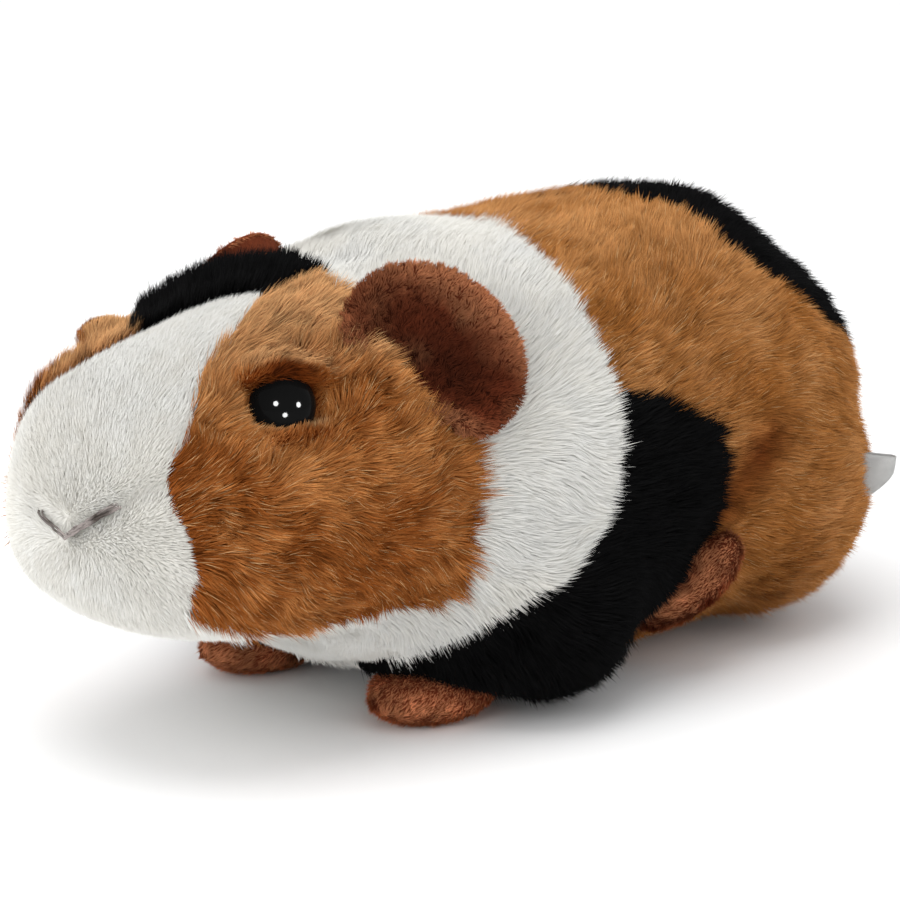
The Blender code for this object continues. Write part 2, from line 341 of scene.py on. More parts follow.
@dataclass(frozen=True)
class RibbonFinish:
    """White satin ribbon: fine ribs across its length, a soft gloss and a little grime."""

    name: str
    colour: Colour

    RIBS = 160.0
    RIB_DEPTH = 0.00006
    GRIME_CELLS = 500.0

    def make(self) -> bpy.types.Material:
        """Builds the material."""
        bench = Bench(self.name)
        settings = {"wave_type": "BANDS", "bands_direction": "Y"}
        run = bench.out(bench.node("ShaderNodeUVMap", {"uv_map": "weave"}))
        ribs = bench.out(bench.node("ShaderNodeTexWave", settings, {"Vector": run, "Scale": self.RIBS}), 1)
        grime = bench.noise(self.GRIME_CELLS, 3.0)
        bench.set(Base_Color=bench.toned(self.colour, grime * 0.24 + 0.82), Roughness=0.5)
        bench.set(Normal=bench.bump(ribs, self.RIB_DEPTH), Specular_IOR_Level=0.35)
        return bench.material


@dataclass(frozen=True)
class FloorFinish:
    """A seamless pale paper floor."""

    name: str
    colour: Colour

    CLOUD_CELLS = 30.0

    def make(self) -> bpy.types.Material:
        """Builds the material."""
        bench = Bench(self.name)
        cloud = bench.noise(self.CLOUD_CELLS, 4.0)
        bench.set(Base_Color=bench.toned(self.colour, cloud * 0.02 + 0.99), Roughness=0.9)
        bench.set(Specular_IOR_Level=0.05)
        return bench.material


# Markings


class Plush(Enum):
    """The colours of plush that the toy is sewn from."""

    WHITE = "white_plush"
    ORANGE = "orange_plush"
    BLACK = "black_plush"
    BROWN = "brown_plush"


class Patch(IntEnum):
    """The panels of the coat."""

    FACE = 0
    CHEEK = 1
    CROWN = 2
    RUFF = 3
    BACK = 4
    SHOULDER = 5
    RUMP = 6
    BELLY = 7
    UNDER = 8


@dataclass(frozen=True)
class PatchPile:
    """How the pile of one panel grows.

    Lengths are in millimetres, density is fibres to the square millimetre, and lift and fall are the
    angles of a fibre's lower and upper parts. Glint is the share of bright fibres, painted highlights,
    wander and ruffle how far the fibres and their shading stray, and swing how much their colour varies.
    """

    plush: Plush
    root: Colour
    tip: Colour
    alternate: Colour
    length: float
    width: float
    density: float
    depth: float
    lift: float
    fall: float
    glint: float = 0.0
    wander: float = 1.0
    ruffle: float = 0.3
    swing: float = 1.0
    round_share: float = 0.15


WHITE_ROOT = (0.80, 0.785, 0.74)
WHITE_TIP = (0.84, 0.84, 0.815)
CREAM_TIP = (0.84, 0.825, 0.775)
ORANGE_ROOT = (0.22, 0.060, 0.011)
ORANGE_TIP = (0.44, 0.172, 0.040)
SANDY_TIP = (0.52, 0.255, 0.090)
RUST_ROOT = (0.18, 0.038, 0.006)
RUST_TIP = (0.35, 0.102, 0.018)
HONEY_TIP = (0.56, 0.250, 0.078)
# Painted shade: the dark tip colour of the pile in the haunch folds and above the eyes.
FOLD_SHADE_TIP = (0.19, 0.036, 0.004)
BLACK_ROOT = (0.0025, 0.0025, 0.0025)
BLACK_TIP = (0.0050, 0.0050, 0.0052)
# Painted highlight: the colour of the few glinting fibres.
GLINT = (0.74, 0.47, 0.22)
# Painted top light: the pale tip colour of the cheek where it faces up.
TOP_LIGHT_TIP = (0.66, 0.38, 0.17)
BROWN_ROOT = (0.060, 0.014, 0.006)
BROWN_TIP = (0.150, 0.033, 0.013)
SANDY_BROWN_TIP = (0.230, 0.092, 0.042)

PILES: dict[Patch, PatchPile] = {
    Patch.FACE: PatchPile(
        Plush.WHITE, WHITE_ROOT, CREAM_TIP, WHITE_TIP, length=1.9, width=0.125, density=27.5, depth=1.4,
        lift=50, fall=28, wander=0.25, ruffle=0.04, swing=0.1, round_share=0.1,
    ),
    Patch.CHEEK: PatchPile(
        Plush.ORANGE, RUST_ROOT, RUST_TIP, HONEY_TIP, length=4.5, width=0.15, density=18, depth=3.1,
        lift=54, fall=28, glint=0.05, wander=1.7,
    ),
    Patch.CROWN: PatchPile(
        Plush.BLACK, BLACK_ROOT, BLACK_TIP, BLACK_TIP, length=4.7, width=0.20, density=11, depth=2.2,
        lift=68, fall=52,
    ),
    Patch.RUFF: PatchPile(
        Plush.WHITE, WHITE_ROOT, WHITE_TIP, CREAM_TIP, length=4.0, width=0.15, density=16, depth=3.0,
        lift=54, fall=26, wander=0.5, ruffle=0.05, swing=0.12, round_share=0.12,
    ),
    Patch.BACK: PatchPile(
        Plush.ORANGE, ORANGE_ROOT, ORANGE_TIP, SANDY_TIP, length=4.3, width=0.15, density=17, depth=3.6,
        lift=60, fall=34, glint=0.03, wander=1.3, ruffle=0.25, swing=0.9,
    ),
    Patch.SHOULDER: PatchPile(
        Plush.BLACK, BLACK_ROOT, BLACK_TIP, BLACK_TIP, length=5.2, width=0.22, density=10, depth=3.6,
        lift=52, fall=24, wander=0.9,
    ),
    Patch.RUMP: PatchPile(
        Plush.BLACK, BLACK_ROOT, BLACK_TIP, BLACK_TIP, length=5.6, width=0.22, density=10, depth=4.3,
        lift=54, fall=26, wander=0.9,
    ),
    Patch.BELLY: PatchPile(
        Plush.WHITE, WHITE_ROOT, WHITE_TIP, CREAM_TIP, length=4.0, width=0.24, density=7, depth=2.6,
        lift=50, fall=20, wander=0.8, ruffle=0.2, swing=0.3,
    ),
    Patch.UNDER: PatchPile(
        Plush.ORANGE, ORANGE_ROOT, ORANGE_TIP, SANDY_TIP, length=4.0, width=0.24, density=7, depth=2.6,
        lift=50, fall=20, glint=0.02, wander=0.8, swing=0.8,
    ),
}


def by_patch(name: str, patch: Array) -> Array:
    """One value of each point's pile, by the panel that the point is in.

    Args:
        name: The value's name in PatchPile.
        patch: Patch numbers.

    Returns:
        The values, one row each.
    """
    return np.array([getattr(PILES[kind], name) for kind in Patch])[patch]


@dataclass(frozen=True)
class Markings:
    """Where the panels of the coat meet, on the surface of the finished toy.

    The edges of the face give x by the way up the face, which runs from the mouth to the crown. Those
    of the head, ruff and shoulder's back give y by z, those of the jaw and shoulder's top give z by y,
    and the rump's give y by x and x by z.
    """

    muzzle: Pair = (-99.0, 45.0)
    muzzle_slope: float = 0.5
    face_left: Edge = Edge(
        ((-16, 21.2), (-9.4, 21.2), (-7.5, 23.5), (-1, 26), (6, 24.8), (10, 22.4), (13.5, 20),
         (25, 21.2), (35, 18), (39.5, 16), (50, 13), (58, 7.8), (60, 6.2))
    )
    face_right: Edge = Edge(
        ((-16, -22), (-9.4, -22), (-7.5, -24.2), (-1, -26.6), (6, -27.2), (13.5, -26),
         (22, -22.6), (30.6, -14.0), (39.8, -7.4), (43.8, -5.6), (50.8, -4.2), (55.4, 0), (60, 6.2))
    )
    face_top: float = 60.0
    head_back: Edge = Edge(
        ((8, -40), (20, -39), (26, -37), (28, -35.7), (38, -35.5), (49, -34.8), (56, -35), (61, -35.5),
         (66, -35.5), (72, -36), (77, -38), (80, -40), (84, -43))
    )
    crown_back: float = -39.0
    crown_front: float = -73.5
    crown_edge: float = -8.0
    crown_low: float = 70.0
    crown_side: float = 7.6
    jaw: Edge = Edge(((-92, 33), (-86, 29.8), (-70, 23.6), (-53, 23.8), (-39, 24.9), (-36, 26.6)))
    throat_half_width: float = 20.0
    throat_top: float = 30.0
    ruff_back: Edge = Edge(
        ((2, -42), (10, -41), (18, -34), (26, -26), (31, -17), (36, -10), (43, -6), (52, -3.7),
         (67, -2.5), (75, -1), (80, 1.5), (82.5, 4), (84.5, 9), (86, 16))
    )
    shoulder_top: Edge = Edge(((-20, 62), (-4, 60.8), (3, 59), (12.6, 55.2), (23, 50.3), (26, 48)))
    shoulder_back: Edge = Edge(
        ((2, 19), (10, 21), (16, 22), (21, 23), (27, 24), (30, 24.5), (37.6, 24.6),
         (43.5, 24), (52, 22), (62, 4))
    )
    shoulder_inside: float = 13.0
    rump_front: Edge = Edge(
        ((-52, 50), (-15, 50), (0, 46), (10, 45.5), (17, 48), (28, 47.6), (36, 53), (38, 60), (39, 100))
    )
    rump_left: Edge = Edge(((25, -5), (40, 18), (50, 30), (62, 38.2), (74, 40), (90, 60)))
    rump_low: float = 28.0
    belly_top: float = 11.0
    belly_half_width: float = 24.0
    belly_split: float = 0.0

    def patch(self, places: Array) -> Array:
        """The panel that each place of the surface lies in.

        Args:
            places: Points on the toy's outer surface, one in each row.

        Returns:
            The Patch number of each point.
        """
        x, y, z = places.T
        behind = y > self.ruff_back.at(z)
        low = behind & (np.abs(x) > self.shoulder_inside)
        low &= (z < self.shoulder_top.at(y)) & (y < self.shoulder_back.at(z))
        under = behind & ~low & (z < self.belly_top) & (np.abs(x) < self.belly_half_width)
        up_face = (z - self.muzzle[1]) + self.muzzle_slope * (y - self.muzzle[0])
        on_head = y < self.head_back.at(z)
        on_crown = (y < self.crown_back) & (z > self.crown_low) & (x < self.crown_side)
        on_crown &= y > self.crown_front + np.maximum(self.crown_edge - x, 0)
        on_face = (up_face < self.face_top) & (y < self.crown_back)
        on_face &= (x < self.face_left.at(up_face)) & (x > self.face_right.at(up_face))
        on_throat = (np.abs(x) < self.throat_half_width) & (z < self.throat_top)
        on_throat |= z < self.jaw.at(y)
        found = np.full(len(places), int(Patch.BACK))
        found[~behind] = Patch.RUFF
        found[low] = Patch.SHOULDER
        found[(y > self.rump_front.at(x)) & (x < self.rump_left.at(z)) & (z > self.rump_low)] = Patch.RUMP
        found[under & (y > self.belly_split)] = Patch.UNDER
        found[under & (y <= self.belly_split)] = Patch.BELLY
        found[on_head] = Patch.CHEEK
        found[on_head & on_throat] = Patch.RUFF
        found[on_crown] = Patch.CROWN
        found[on_face] = Patch.FACE
        return found


@dataclass(frozen=True)
class Seams:
    """The sewn lines and folds that press into the pile."""

    haunch: Seam = Seam(
        ((49.8, 40, 47), (52, 34, 40), (52.5, 29, 36), (51, 24, 31.5), (49, 19, 25.5))
    )
    mouth_corner: Seam = Seam(((11.2, -96.5, 50.6), (15.5, -94.5, 53.2), (19.3, -91.5, 54.5)))
    mouth: Seam = Seam(((-7.2, -98, 47.0), (2.4, -98.8, 44.2), (11.8, -96.4, 50.3)))


MARKINGS = Markings()
SEAMS = Seams()
HAUNCHES = (SEAMS.haunch, SEAMS.haunch.mirrored())


@dataclass(frozen=True)
class EyePlace:
    """A button eye: its middle, the way it looks, its radius and how the skin closes on it."""

    centre: Place = (24.7, -68.1, 65.6)
    look: Place = (0.74, -0.46, 0.49)
    radius: float = 5.8
    rim: float = 10.5
    corner_level: float = -0.6
    flat: float = 0.92
    lid_line: float = 4.6
    lid_level: float = 3.2
    brow_line: float = 3.3
    brow_level: float = 5.2
    lid_soft: float = 1.2
    right_sink: float = 1.6
    pressed_to: float = -8.0
    folds_to: float = -9.0

    def middle(self, side: int) -> Array:
        """The button's middle on that side; the right one sits a little deeper."""
        middle = np.array(self.centre) * (side, 1, 1)
        return middle if side > 0 else middle - self.axis(side) * self.right_sink

    def axis(self, side: int) -> Array:
        """The way that it looks, at length one."""
        return unit(np.array(self.look) * (side, 1, 1))

    def split(self, places: Array, side: int) -> tuple[Array, Array]:
        """The places' height along the eye's axis, and their distance from that axis."""
        away = places - self.middle(side)
        height = away @ self.axis(side)
        aside = np.linalg.norm(away - height[:, None] * self.axis(side), axis=1)
        return height, aside

    def upward(self, places: Array, side: int) -> Array:
        """How far round the eye each place lies: 1 above it, -1 below it, 0 at its corners."""
        away = places - self.middle(side)
        axis = self.axis(side)
        away -= (away @ axis)[:, None] * axis
        top = unit(np.array((0, 0, 1)) - axis * axis[2])
        return unit(away) @ top

    def lids(self, places: Array, side: int) -> Array:
        """The height at which the skin lies round the button: low at its corners, high above and below."""
        axis = self.axis(side)
        top = unit(np.array((0, 0, 1)) - axis * axis[2])
        up = (places - self.middle(side)) @ top
        brow = ramp(up, self.brow_line - self.lid_soft, self.brow_line + self.lid_soft)
        lower = ramp(-up, self.lid_line - self.lid_soft, self.lid_line + self.lid_soft)
        level = (self.brow_level - self.corner_level) * brow + (self.lid_level - self.corner_level) * lower
        return self.corner_level + level

    def bare(self, places: Array, side: int) -> Array:
        """Whether each place of the skin lies under the button."""
        height, aside = self.split(places, side)
        dome = self.flat * np.sqrt(np.maximum(self.radius**2 - aside**2, 0))
        return (aside < self.radius) & (self.lids(places, side) < dome) & (height > -self.radius)

    def closeness(self, places: Array, side: int, outer: float, inner: float) -> Array:
        """How near each place is to the button: 0 at the outer distance and 1 at the inner one."""
        height, aside = self.split(places, side)
        return ramp(aside, outer, inner) * (height > self.folds_to)


EYE = EyePlace()


# Meshes


def linked(name: str, mesh: bpy.types.Mesh) -> bpy.types.Object:
    """A new object of that name, with the mesh, in the scene."""
    made = bpy.data.objects.new(name, mesh)
    bpy.context.scene.collection.objects.link(made)
    return made


def shaped(name: str, form: bmesh.types.BMesh) -> bpy.types.Object:
    """A new object of that name from a form, which is freed."""
    mesh = bpy.data.meshes.new(name)
    form.to_mesh(mesh)
    form.free()
    return linked(name, mesh)


def ordered(name: str, form: bmesh.types.BMesh) -> bpy.types.Object:
    """A new object of that name from a form, with its points and faces numbered by where they lie.

    A cut form is numbered differently on each run, and the pile's roots are drawn face by face, so
    this is what gives a cut piece the same pile each time.

    Args:
        name: The object's name.
        form: The form, which is freed.

    Returns:
        The object.
    """
    points = sorted(form.verts, key=lambda point: tuple(point.co))
    numbers = {point: number for number, point in enumerate(points)}
    faces = []
    for face in form.faces:
        corners = [numbers[point] for point in face.verts]
        first = corners.index(min(corners))
        faces.append(corners[first:] + corners[:first])
    mesh = bpy.data.meshes.new(name)
    mesh.from_pydata([tuple(point.co) for point in points], [], sorted(faces))
    form.free()
    return linked(name, mesh)


def evaluated(thing: bpy.types.Object) -> bpy.types.Mesh:
    """The thing's mesh with its modifiers worked in; the thing is removed."""
    graph = bpy.context.evaluated_depsgraph_get()
    mesh = bpy.data.meshes.new_from_object(thing.evaluated_get(graph))
    bpy.data.objects.remove(thing)
    return mesh


def remeshed(mesh: bpy.types.Mesh, voxel: float, rounds: int) -> bpy.types.Mesh:
    """The mesh's outer skin as even small faces, smoothed.

    Args:
        mesh: One or more closed shells.
        voxel: The size of a face.
        rounds: How many times it is smoothed.

    Returns:
        The new mesh.
    """
    thing = linked("remesh", mesh)
    change = thing.modifiers.new("voxels", "REMESH")
    change.mode = "VOXEL"
    change.voxel_size = voxel * MM
    change.use_smooth_shade = True
    relax = thing.modifiers.new("relax", "SMOOTH")
    relax.factor = 0.5
    relax.iterations = rounds
    return evaluated(thing)


def points_of(mesh: bpy.types.Mesh) -> Array:
    """The mesh's points, in millimetres."""
    flat = np.empty(len(mesh.vertices) * 3, np.float32)
    mesh.vertices.foreach_get("co", flat)
    return flat.reshape(-1, 3).astype(float) / MM


def normals_of(mesh: bpy.types.Mesh) -> Array:
    """The mesh's smooth normals at its points."""
    flat = np.empty(len(mesh.vertices) * 3, np.float32)
    mesh.vertex_normals.foreach_get("vector", flat)
    return flat.reshape(-1, 3).astype(float)


def move_points(mesh: bpy.types.Mesh, points: Array) -> None:
    """Puts the mesh's points at new places, in millimetres."""
    mesh.vertices.foreach_set("co", (points * MM).astype(np.float32).ravel())
    mesh.update()


def triangles_of(mesh: bpy.types.Mesh) -> Array:
    """The mesh's faces as triangles of point numbers."""
    mesh.calc_loop_triangles()
    flat = np.empty(len(mesh.loop_triangles) * 3, np.int32)
    mesh.loop_triangles.foreach_get("vertices", flat)
    return flat.reshape(-1, 3)


def eased(mesh: bpy.types.Mesh, values: Array, rounds: int) -> Array:
    """Values at the mesh's points, each evened out with its neighbours.

    Args:
        mesh: The mesh whose edges say which points are neighbours.
        values: One number for each point.
        rounds: How many times they are evened out.

    Returns:
        The evened values.
    """
    flat = np.empty(len(mesh.edges) * 2, np.int32)
    mesh.edges.foreach_get("vertices", flat)
    start, end = flat.reshape(-1, 2).T
    count = np.bincount(flat, minlength=len(values)) + 1.0
    for _ in range(rounds):
        total = values.copy()
        total += np.bincount(start, values[end], len(values))
        total += np.bincount(end, values[start], len(values))
        values = total / count
    return values


def merged_node(node: str, grow: float = 0.0) -> bmesh.types.BMesh:
    """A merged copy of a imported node's mesh, grown outwards.

    Args:
        node: The node's name.
        grow: How far its points move out.

    Returns:
        The copy.
    """
    form = bmesh.new()
    form.from_mesh(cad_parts[node].data)
    bmesh.ops.remove_doubles(form, verts=form.verts, dist=MERGE)
    form.normal_update()
    for point in form.verts:
        point.co += point.normal * grow * MM
    return form


def joined(forms: list[bmesh.types.BMesh], name: str) -> bpy.types.Mesh:
    """One mesh that holds all the forms, which are freed."""
    whole = bmesh.new()
    for form in forms:
        part = bpy.data.meshes.new("part")
        form.to_mesh(part)
        form.free()
        whole.from_mesh(part)
        bpy.data.meshes.remove(part)
    mesh = bpy.data.meshes.new(name)
    whole.to_mesh(mesh)
    whole.free()
    return mesh


def paint(mesh: bpy.types.Mesh, colours: Array) -> None:
    """Keeps a colour at each of the mesh's points, under the name fibre."""
    store = mesh.attributes.new("fibre", "FLOAT_COLOR", "POINT")
    full = np.ones((len(colours), 4), np.float32)
    full[:, :3] = colours
    store.data.foreach_set("color", full.ravel())


def finished(
    thing: bpy.types.Object, material: bpy.types.Material, replaced: tuple[str, ...] = ()
) -> bpy.types.Object:
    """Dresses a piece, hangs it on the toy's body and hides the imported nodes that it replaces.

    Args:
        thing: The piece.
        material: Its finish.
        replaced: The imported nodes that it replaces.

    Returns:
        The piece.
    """
    thing.data.materials.clear()
    thing.data.materials.append(material)
    thing.data.polygons.foreach_set("use_smooth", [True] * len(thing.data.polygons))
    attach(thing, BODY)
    if replaced:
        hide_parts(*replaced)
    LOG.info("%s: %d faces", thing.name, len(thing.data.polygons))
    return thing


# Pile


@dataclass
class Roots:
    """Where the fibres of a pile start, on a skin."""

    places: Array
    normals: Array

    @classmethod
    def scattered(cls, mesh: bpy.types.Mesh, density: Array, draw: np.random.Generator) -> "Roots":
        """Spreads roots over a mesh.

        Args:
            mesh: The skin.
            density: Fibres to the square millimetre at each of its points.
            draw: Where the random numbers come from.

        Returns:
            The roots.
        """
        points = points_of(mesh)
        normals = normals_of(mesh)
        corners = triangles_of(mesh)
        a, b, c = (points[corners[:, i]] for i in range(3))
        area = np.linalg.norm(np.cross(b - a, c - a), axis=1) / 2
        wanted = area * density[corners].mean(axis=1)
        count = np.floor(wanted + draw.random(len(wanted))).astype(int)
        face = np.repeat(np.arange(len(corners)), count)
        first = np.sqrt(draw.random(len(face)))
        second = draw.random(len(face))
        shares = np.stack((1 - first, first * (1 - second), first * second), axis=1)
        held = corners[face]
        places = np.einsum("nk,nkd->nd", shares, points[held])
        return cls(places, unit(np.einsum("nk,nkd->nd", shares, normals[held])))

    def kept(self, mask: Array) -> "Roots":
        """The roots that a mask keeps."""
        return Roots(self.places[mask], self.normals[mask])


@dataclass
class Blades:
    """Fibres as thin kites: a root, a wide middle and a tip each.

    Each fibre has its lie along the skin, its length and width, how far its tip strays, its roll about
    its own length, the angles of its two parts, its colours, the skin's shading, its place on the
    chart, and the share that the skin's shading has in its own.
    """

    roots: Roots
    lay: Array
    length: Array
    width: Array
    stray: Array
    roll: Array
    root_lift: Array
    tip_lift: Array
    root_colour: Array
    tip_colour: Array
    shade: Array
    chart: Array
    round_share: Array

    MIDDLE = 0.45
    MIDDLE_STRAY = 0.35
    MIDDLE_TINT = 0.55
    PATCH_SIZE = 0.003
    CORNERS = ((0.5, 0.0), (0.0, 0.5), (1.0, 0.5), (0.5, 1.0))

    def take(self, chosen: Array) -> "Blades":
        """Some of the fibres, by number."""
        picked = {name: getattr(self, name)[chosen] for name in self.__dataclass_fields__ if name != "roots"}
        return Blades(roots=self.roots.kept(chosen), **picked)

    def corners(self) -> Array:
        """The four corners of each kite, in millimetres."""
        start, up = self.roots.places, self.roots.normals
        side = np.cross(self.lay, up)
        side = unit(side * np.cos(self.roll) + up * np.sin(self.roll))
        reach = self.length[:, None]
        rise = self.root_lift[:, None]
        fall = self.tip_lift[:, None]
        middle = start + self.MIDDLE * reach * (np.cos(rise) * self.lay + np.sin(rise) * up)
        tip = middle + (1 - self.MIDDLE) * reach * (np.cos(fall) * self.lay + np.sin(fall) * up)
        middle += self.stray * self.MIDDLE_STRAY
        tip += self.stray
        half = side * self.width[:, None] / 2
        corners = np.stack((start, middle - half, middle + half, tip), axis=1)
        corners[..., 2] = np.maximum(corners[..., 2], FLOOR_CLEARANCE)
        return corners

    def mesh(self, name: str) -> bpy.types.Mesh:
        """One mesh of all the fibres, with their colours, normals and chart.

        Args:
            name: The mesh's name.

        Returns:
            The mesh.
        """
        count = len(self.length)
        kites = self.corners()
        first = np.arange(count)[:, None] * 4
        order = np.concatenate((first + (0, 2, 1), first + (1, 2, 3)), axis=1).astype(np.int32)
        mesh = bpy.data.meshes.new(name)
        mesh.vertices.add(count * 4)
        mesh.vertices.foreach_set("co", (kites * MM).astype(np.float32).ravel())
        mesh.loops.add(count * 6)
        mesh.loops.foreach_set("vertex_index", order.ravel())
        mesh.polygons.add(count * 2)
        mesh.polygons.foreach_set("loop_start", np.arange(0, count * 6, 3, dtype=np.int32))
        mesh.update(calc_edges=True)
        middle = self.root_colour * (1 - self.MIDDLE_TINT) + self.tip_colour * self.MIDDLE_TINT
        paint(mesh, np.stack((self.root_colour, middle, middle, self.tip_colour), axis=1).reshape(-1, 3))
        shade = np.repeat(self._shading(kites), 4, axis=0).astype(np.float32)
        store = mesh.attributes.new("custom_normal", "FLOAT_VECTOR", "POINT")
        store.data.foreach_set("vector", shade.ravel())
        self._lay_chart(mesh, order)
        return mesh

    def _shading(self, kites: Array) -> Array:
        """Each kite's normal for shading: partly its own, turned outwards, and partly the skin's."""
        flat = unit(np.cross(kites[:, 2] - kites[:, 1], kites[:, 3] - kites[:, 0]))
        flat *= np.sign(along(flat, self.roots.normals))
        share = self.round_share[:, None]
        return unit(self.shade * share + flat * (1 - share))

    def _lay_chart(self, mesh: bpy.types.Mesh, order: Array) -> None:
        """Lays each kite at its root's place on the unwrapped skin."""
        low, high = self.chart.min(axis=0), self.chart.max(axis=0)
        place = (self.chart - low) / np.maximum(high - low, 1e-6) * (1 - 2 * self.PATCH_SIZE)
        kite = np.array(self.CORNERS) * self.PATCH_SIZE
        spots = (place[:, None, :] + kite[None] + self.PATCH_SIZE / 2).reshape(-1, 2)
        layer = mesh.uv_layers.new(name="OFBake")
        layer.data.foreach_set("uv", spots[order.ravel()].astype(np.float32).ravel())


def ball_chart(places: Array, centre: Place, stretch: Place) -> Array:
    """The places' longitude about the Y axis and their angle from -Y, as chart coordinates.

    Args:
        places: Points of a round skin.
        centre: The skin's middle.
        stretch: How far the skin reaches on each axis.

    Returns:
        Two numbers from 0 to 1 for each point.
    """
    away = unit((places - np.array(centre)) / np.array(stretch))
    longitude = np.arctan2(away[:, 0], away[:, 2]) / (2 * math.pi) + 0.5
    colatitude = np.arccos(np.clip(-away[:, 1], -1, 1)) / math.pi
    return np.stack((longitude, colatitude), axis=1)


# Skin and coat


def haunch_depth(places: Array) -> Array:
    """How strongly the haunch fold draws in, from 0 at its upper end to 1 low down."""
    return ramp(places[:, 2], 53, 41)


def folds(places: Array) -> Array:
    """How deep in a fold each place lies, from 0 to 1: painted shade in the haunch folds, above the eyes and
    round them.
    """
    fold = np.zeros(len(places))
    pile_run = np.array((0, 2.5, 0))
    for seam in HAUNCHES:
        fold += 1.2 * haunch_depth(places) * bell(seam.distance(places + pile_run), 5.0, 3.0)
    for side in SIDES:
        above = np.maximum(EYE.upward(places, side), 0)
        fold += 0.7 * above * EYE.closeness(places, side, 7.0, 4.6)
        fold += 0.25 * EYE.closeness(places, side, 8, 6)
    return np.clip(fold, 0, 1)[:, None]


@dataclass(frozen=True)
class Swell:
    """A place where the filling stands out, or where it lies in if its rise is below 0."""

    centre: Place
    reach: float
    rise: float


@dataclass
class Skin:
    """The stuffed cloth body under the pile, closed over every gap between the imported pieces."""

    flesh: tuple[str, ...] = (
        "head", "muzzle", "neck", "trunk",
        "front_leg_left", "front_leg_right", "hind_leg_left", "hind_leg_right",
    )
    fillers: tuple[str, ...] = (
        "eye_left", "eye_right", "front_foot_left", "front_foot_right", "hind_foot_left", "hind_foot_right",
    )
    grow: float = 2.5
    coarse: float = 1.5
    coarse_rounds: int = 6
    fine: float = 1.25
    fine_rounds: int = 5
    ease_rounds: int = 14
    crease: float = 2.6
    crease_width: float = 4.5
    mouth_crease: float = 1.15
    mouth_crease_width: float = 1.7
    pile_height: float = 3.5
    lightness: float = 0.95
    fold_shade: float = 0.75
    swells: tuple[Swell, ...] = (
        Swell((42.0, 80.0, 62.0), 24.0, 1.6),
        Swell((24.0, 72.0, 76.0), 16.0, -2.2),
        Swell((12.0, 62.0, 85.0), 13.0, 2.0),
        Swell((-1.0, 36.0, 87.0), 17.0, -2.0),
        Swell((-12.0, -12.0, 84.0), 18.0, 2.4),
        Swell((24.0, 84.0, 20.0), 14.0, -1.2),
        Swell((36.0, -39.0, 61.0), 12.0, 2.2),
        Swell((-36.0, -39.0, 61.0), 12.0, 2.2),
        Swell((22.0, -50.0, 75.0), 8.0, 1.6),
        Swell((-12.0, -66.0, 78.0), 11.0, -3.0),
        Swell((-21.0, -79.0, 67.0), 9.0, 1.6),
    )
    thing: bpy.types.Object = field(init=False)

    def build(self) -> bpy.types.Object:
        """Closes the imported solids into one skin, and draws it in by the depth of the pile."""
        forms = [merged_node(node, self.grow) for node in self.flesh]
        forms += [merged_node(node) for node in self.fillers]
        outer = remeshed(joined(forms, "closed"), self.coarse, self.coarse_rounds)
        points, normals = points_of(outer), normals_of(outer)
        surface = points - normals * self.grow
        inset = self.inset(outer, surface)
        move_points(outer, surface - normals * inset[:, None])
        inner = remeshed(outer, self.fine, self.fine_rounds)
        self._press(inner)
        self.thing = linked("plush_skin", inner)
        return self.thing

    def inset(self, mesh: bpy.types.Mesh, surface: Array) -> Array:
        """How deep the pile stands at each point of the surface."""
        depth = by_patch("depth", MARKINGS.patch(surface))
        for swell in self.swells:
            away = np.linalg.norm(surface - np.array(swell.centre), axis=1)
            depth = depth - swell.rise * bell(away, swell.reach)
        return eased(mesh, depth, self.ease_rounds)

    def _press(self, mesh: bpy.types.Mesh) -> None:
        """Presses the haunch folds, the mouth and the two eye sockets into the skin."""
        points, normals = points_of(mesh), normals_of(mesh)
        for seam in HAUNCHES:
            near = bell(seam.distance(points), self.crease_width, 2.0)
            points -= normals * (self.crease * haunch_depth(points) * near)[:, None]
        for seam in (SEAMS.mouth, SEAMS.mouth_corner):
            near = bell(seam.distance(points), self.mouth_crease_width, 1.0)
            points -= normals * (self.mouth_crease * near)[:, None]
        for side in SIDES:
            height, aside = EYE.split(points, side)
            near = ramp(aside, EYE.rim, EYE.radius) * (height > EYE.pressed_to)
            change = (EYE.lids(points, side) - height) * near
            points += change[:, None] * EYE.axis(side)
        move_points(mesh, points)

    def dress(self) -> bpy.types.Object:
        """Paints the skin in the coat's markings, with painted shade in the folds and round the eyes, and
        gives it its finish.
        """
        mesh = self.thing.data
        patch = MARKINGS.patch(points_of(mesh) + normals_of(mesh) * self.pile_height)
        # Painted shade: the backing is darker in the folds and round the eyes.
        level = self.lightness - self.fold_shade * folds(points_of(mesh))
        paint(mesh, by_patch("root", patch) * level)
        finished(self.thing, BackingFinish("knit_backing").make(), self.flesh)
        return self.thing


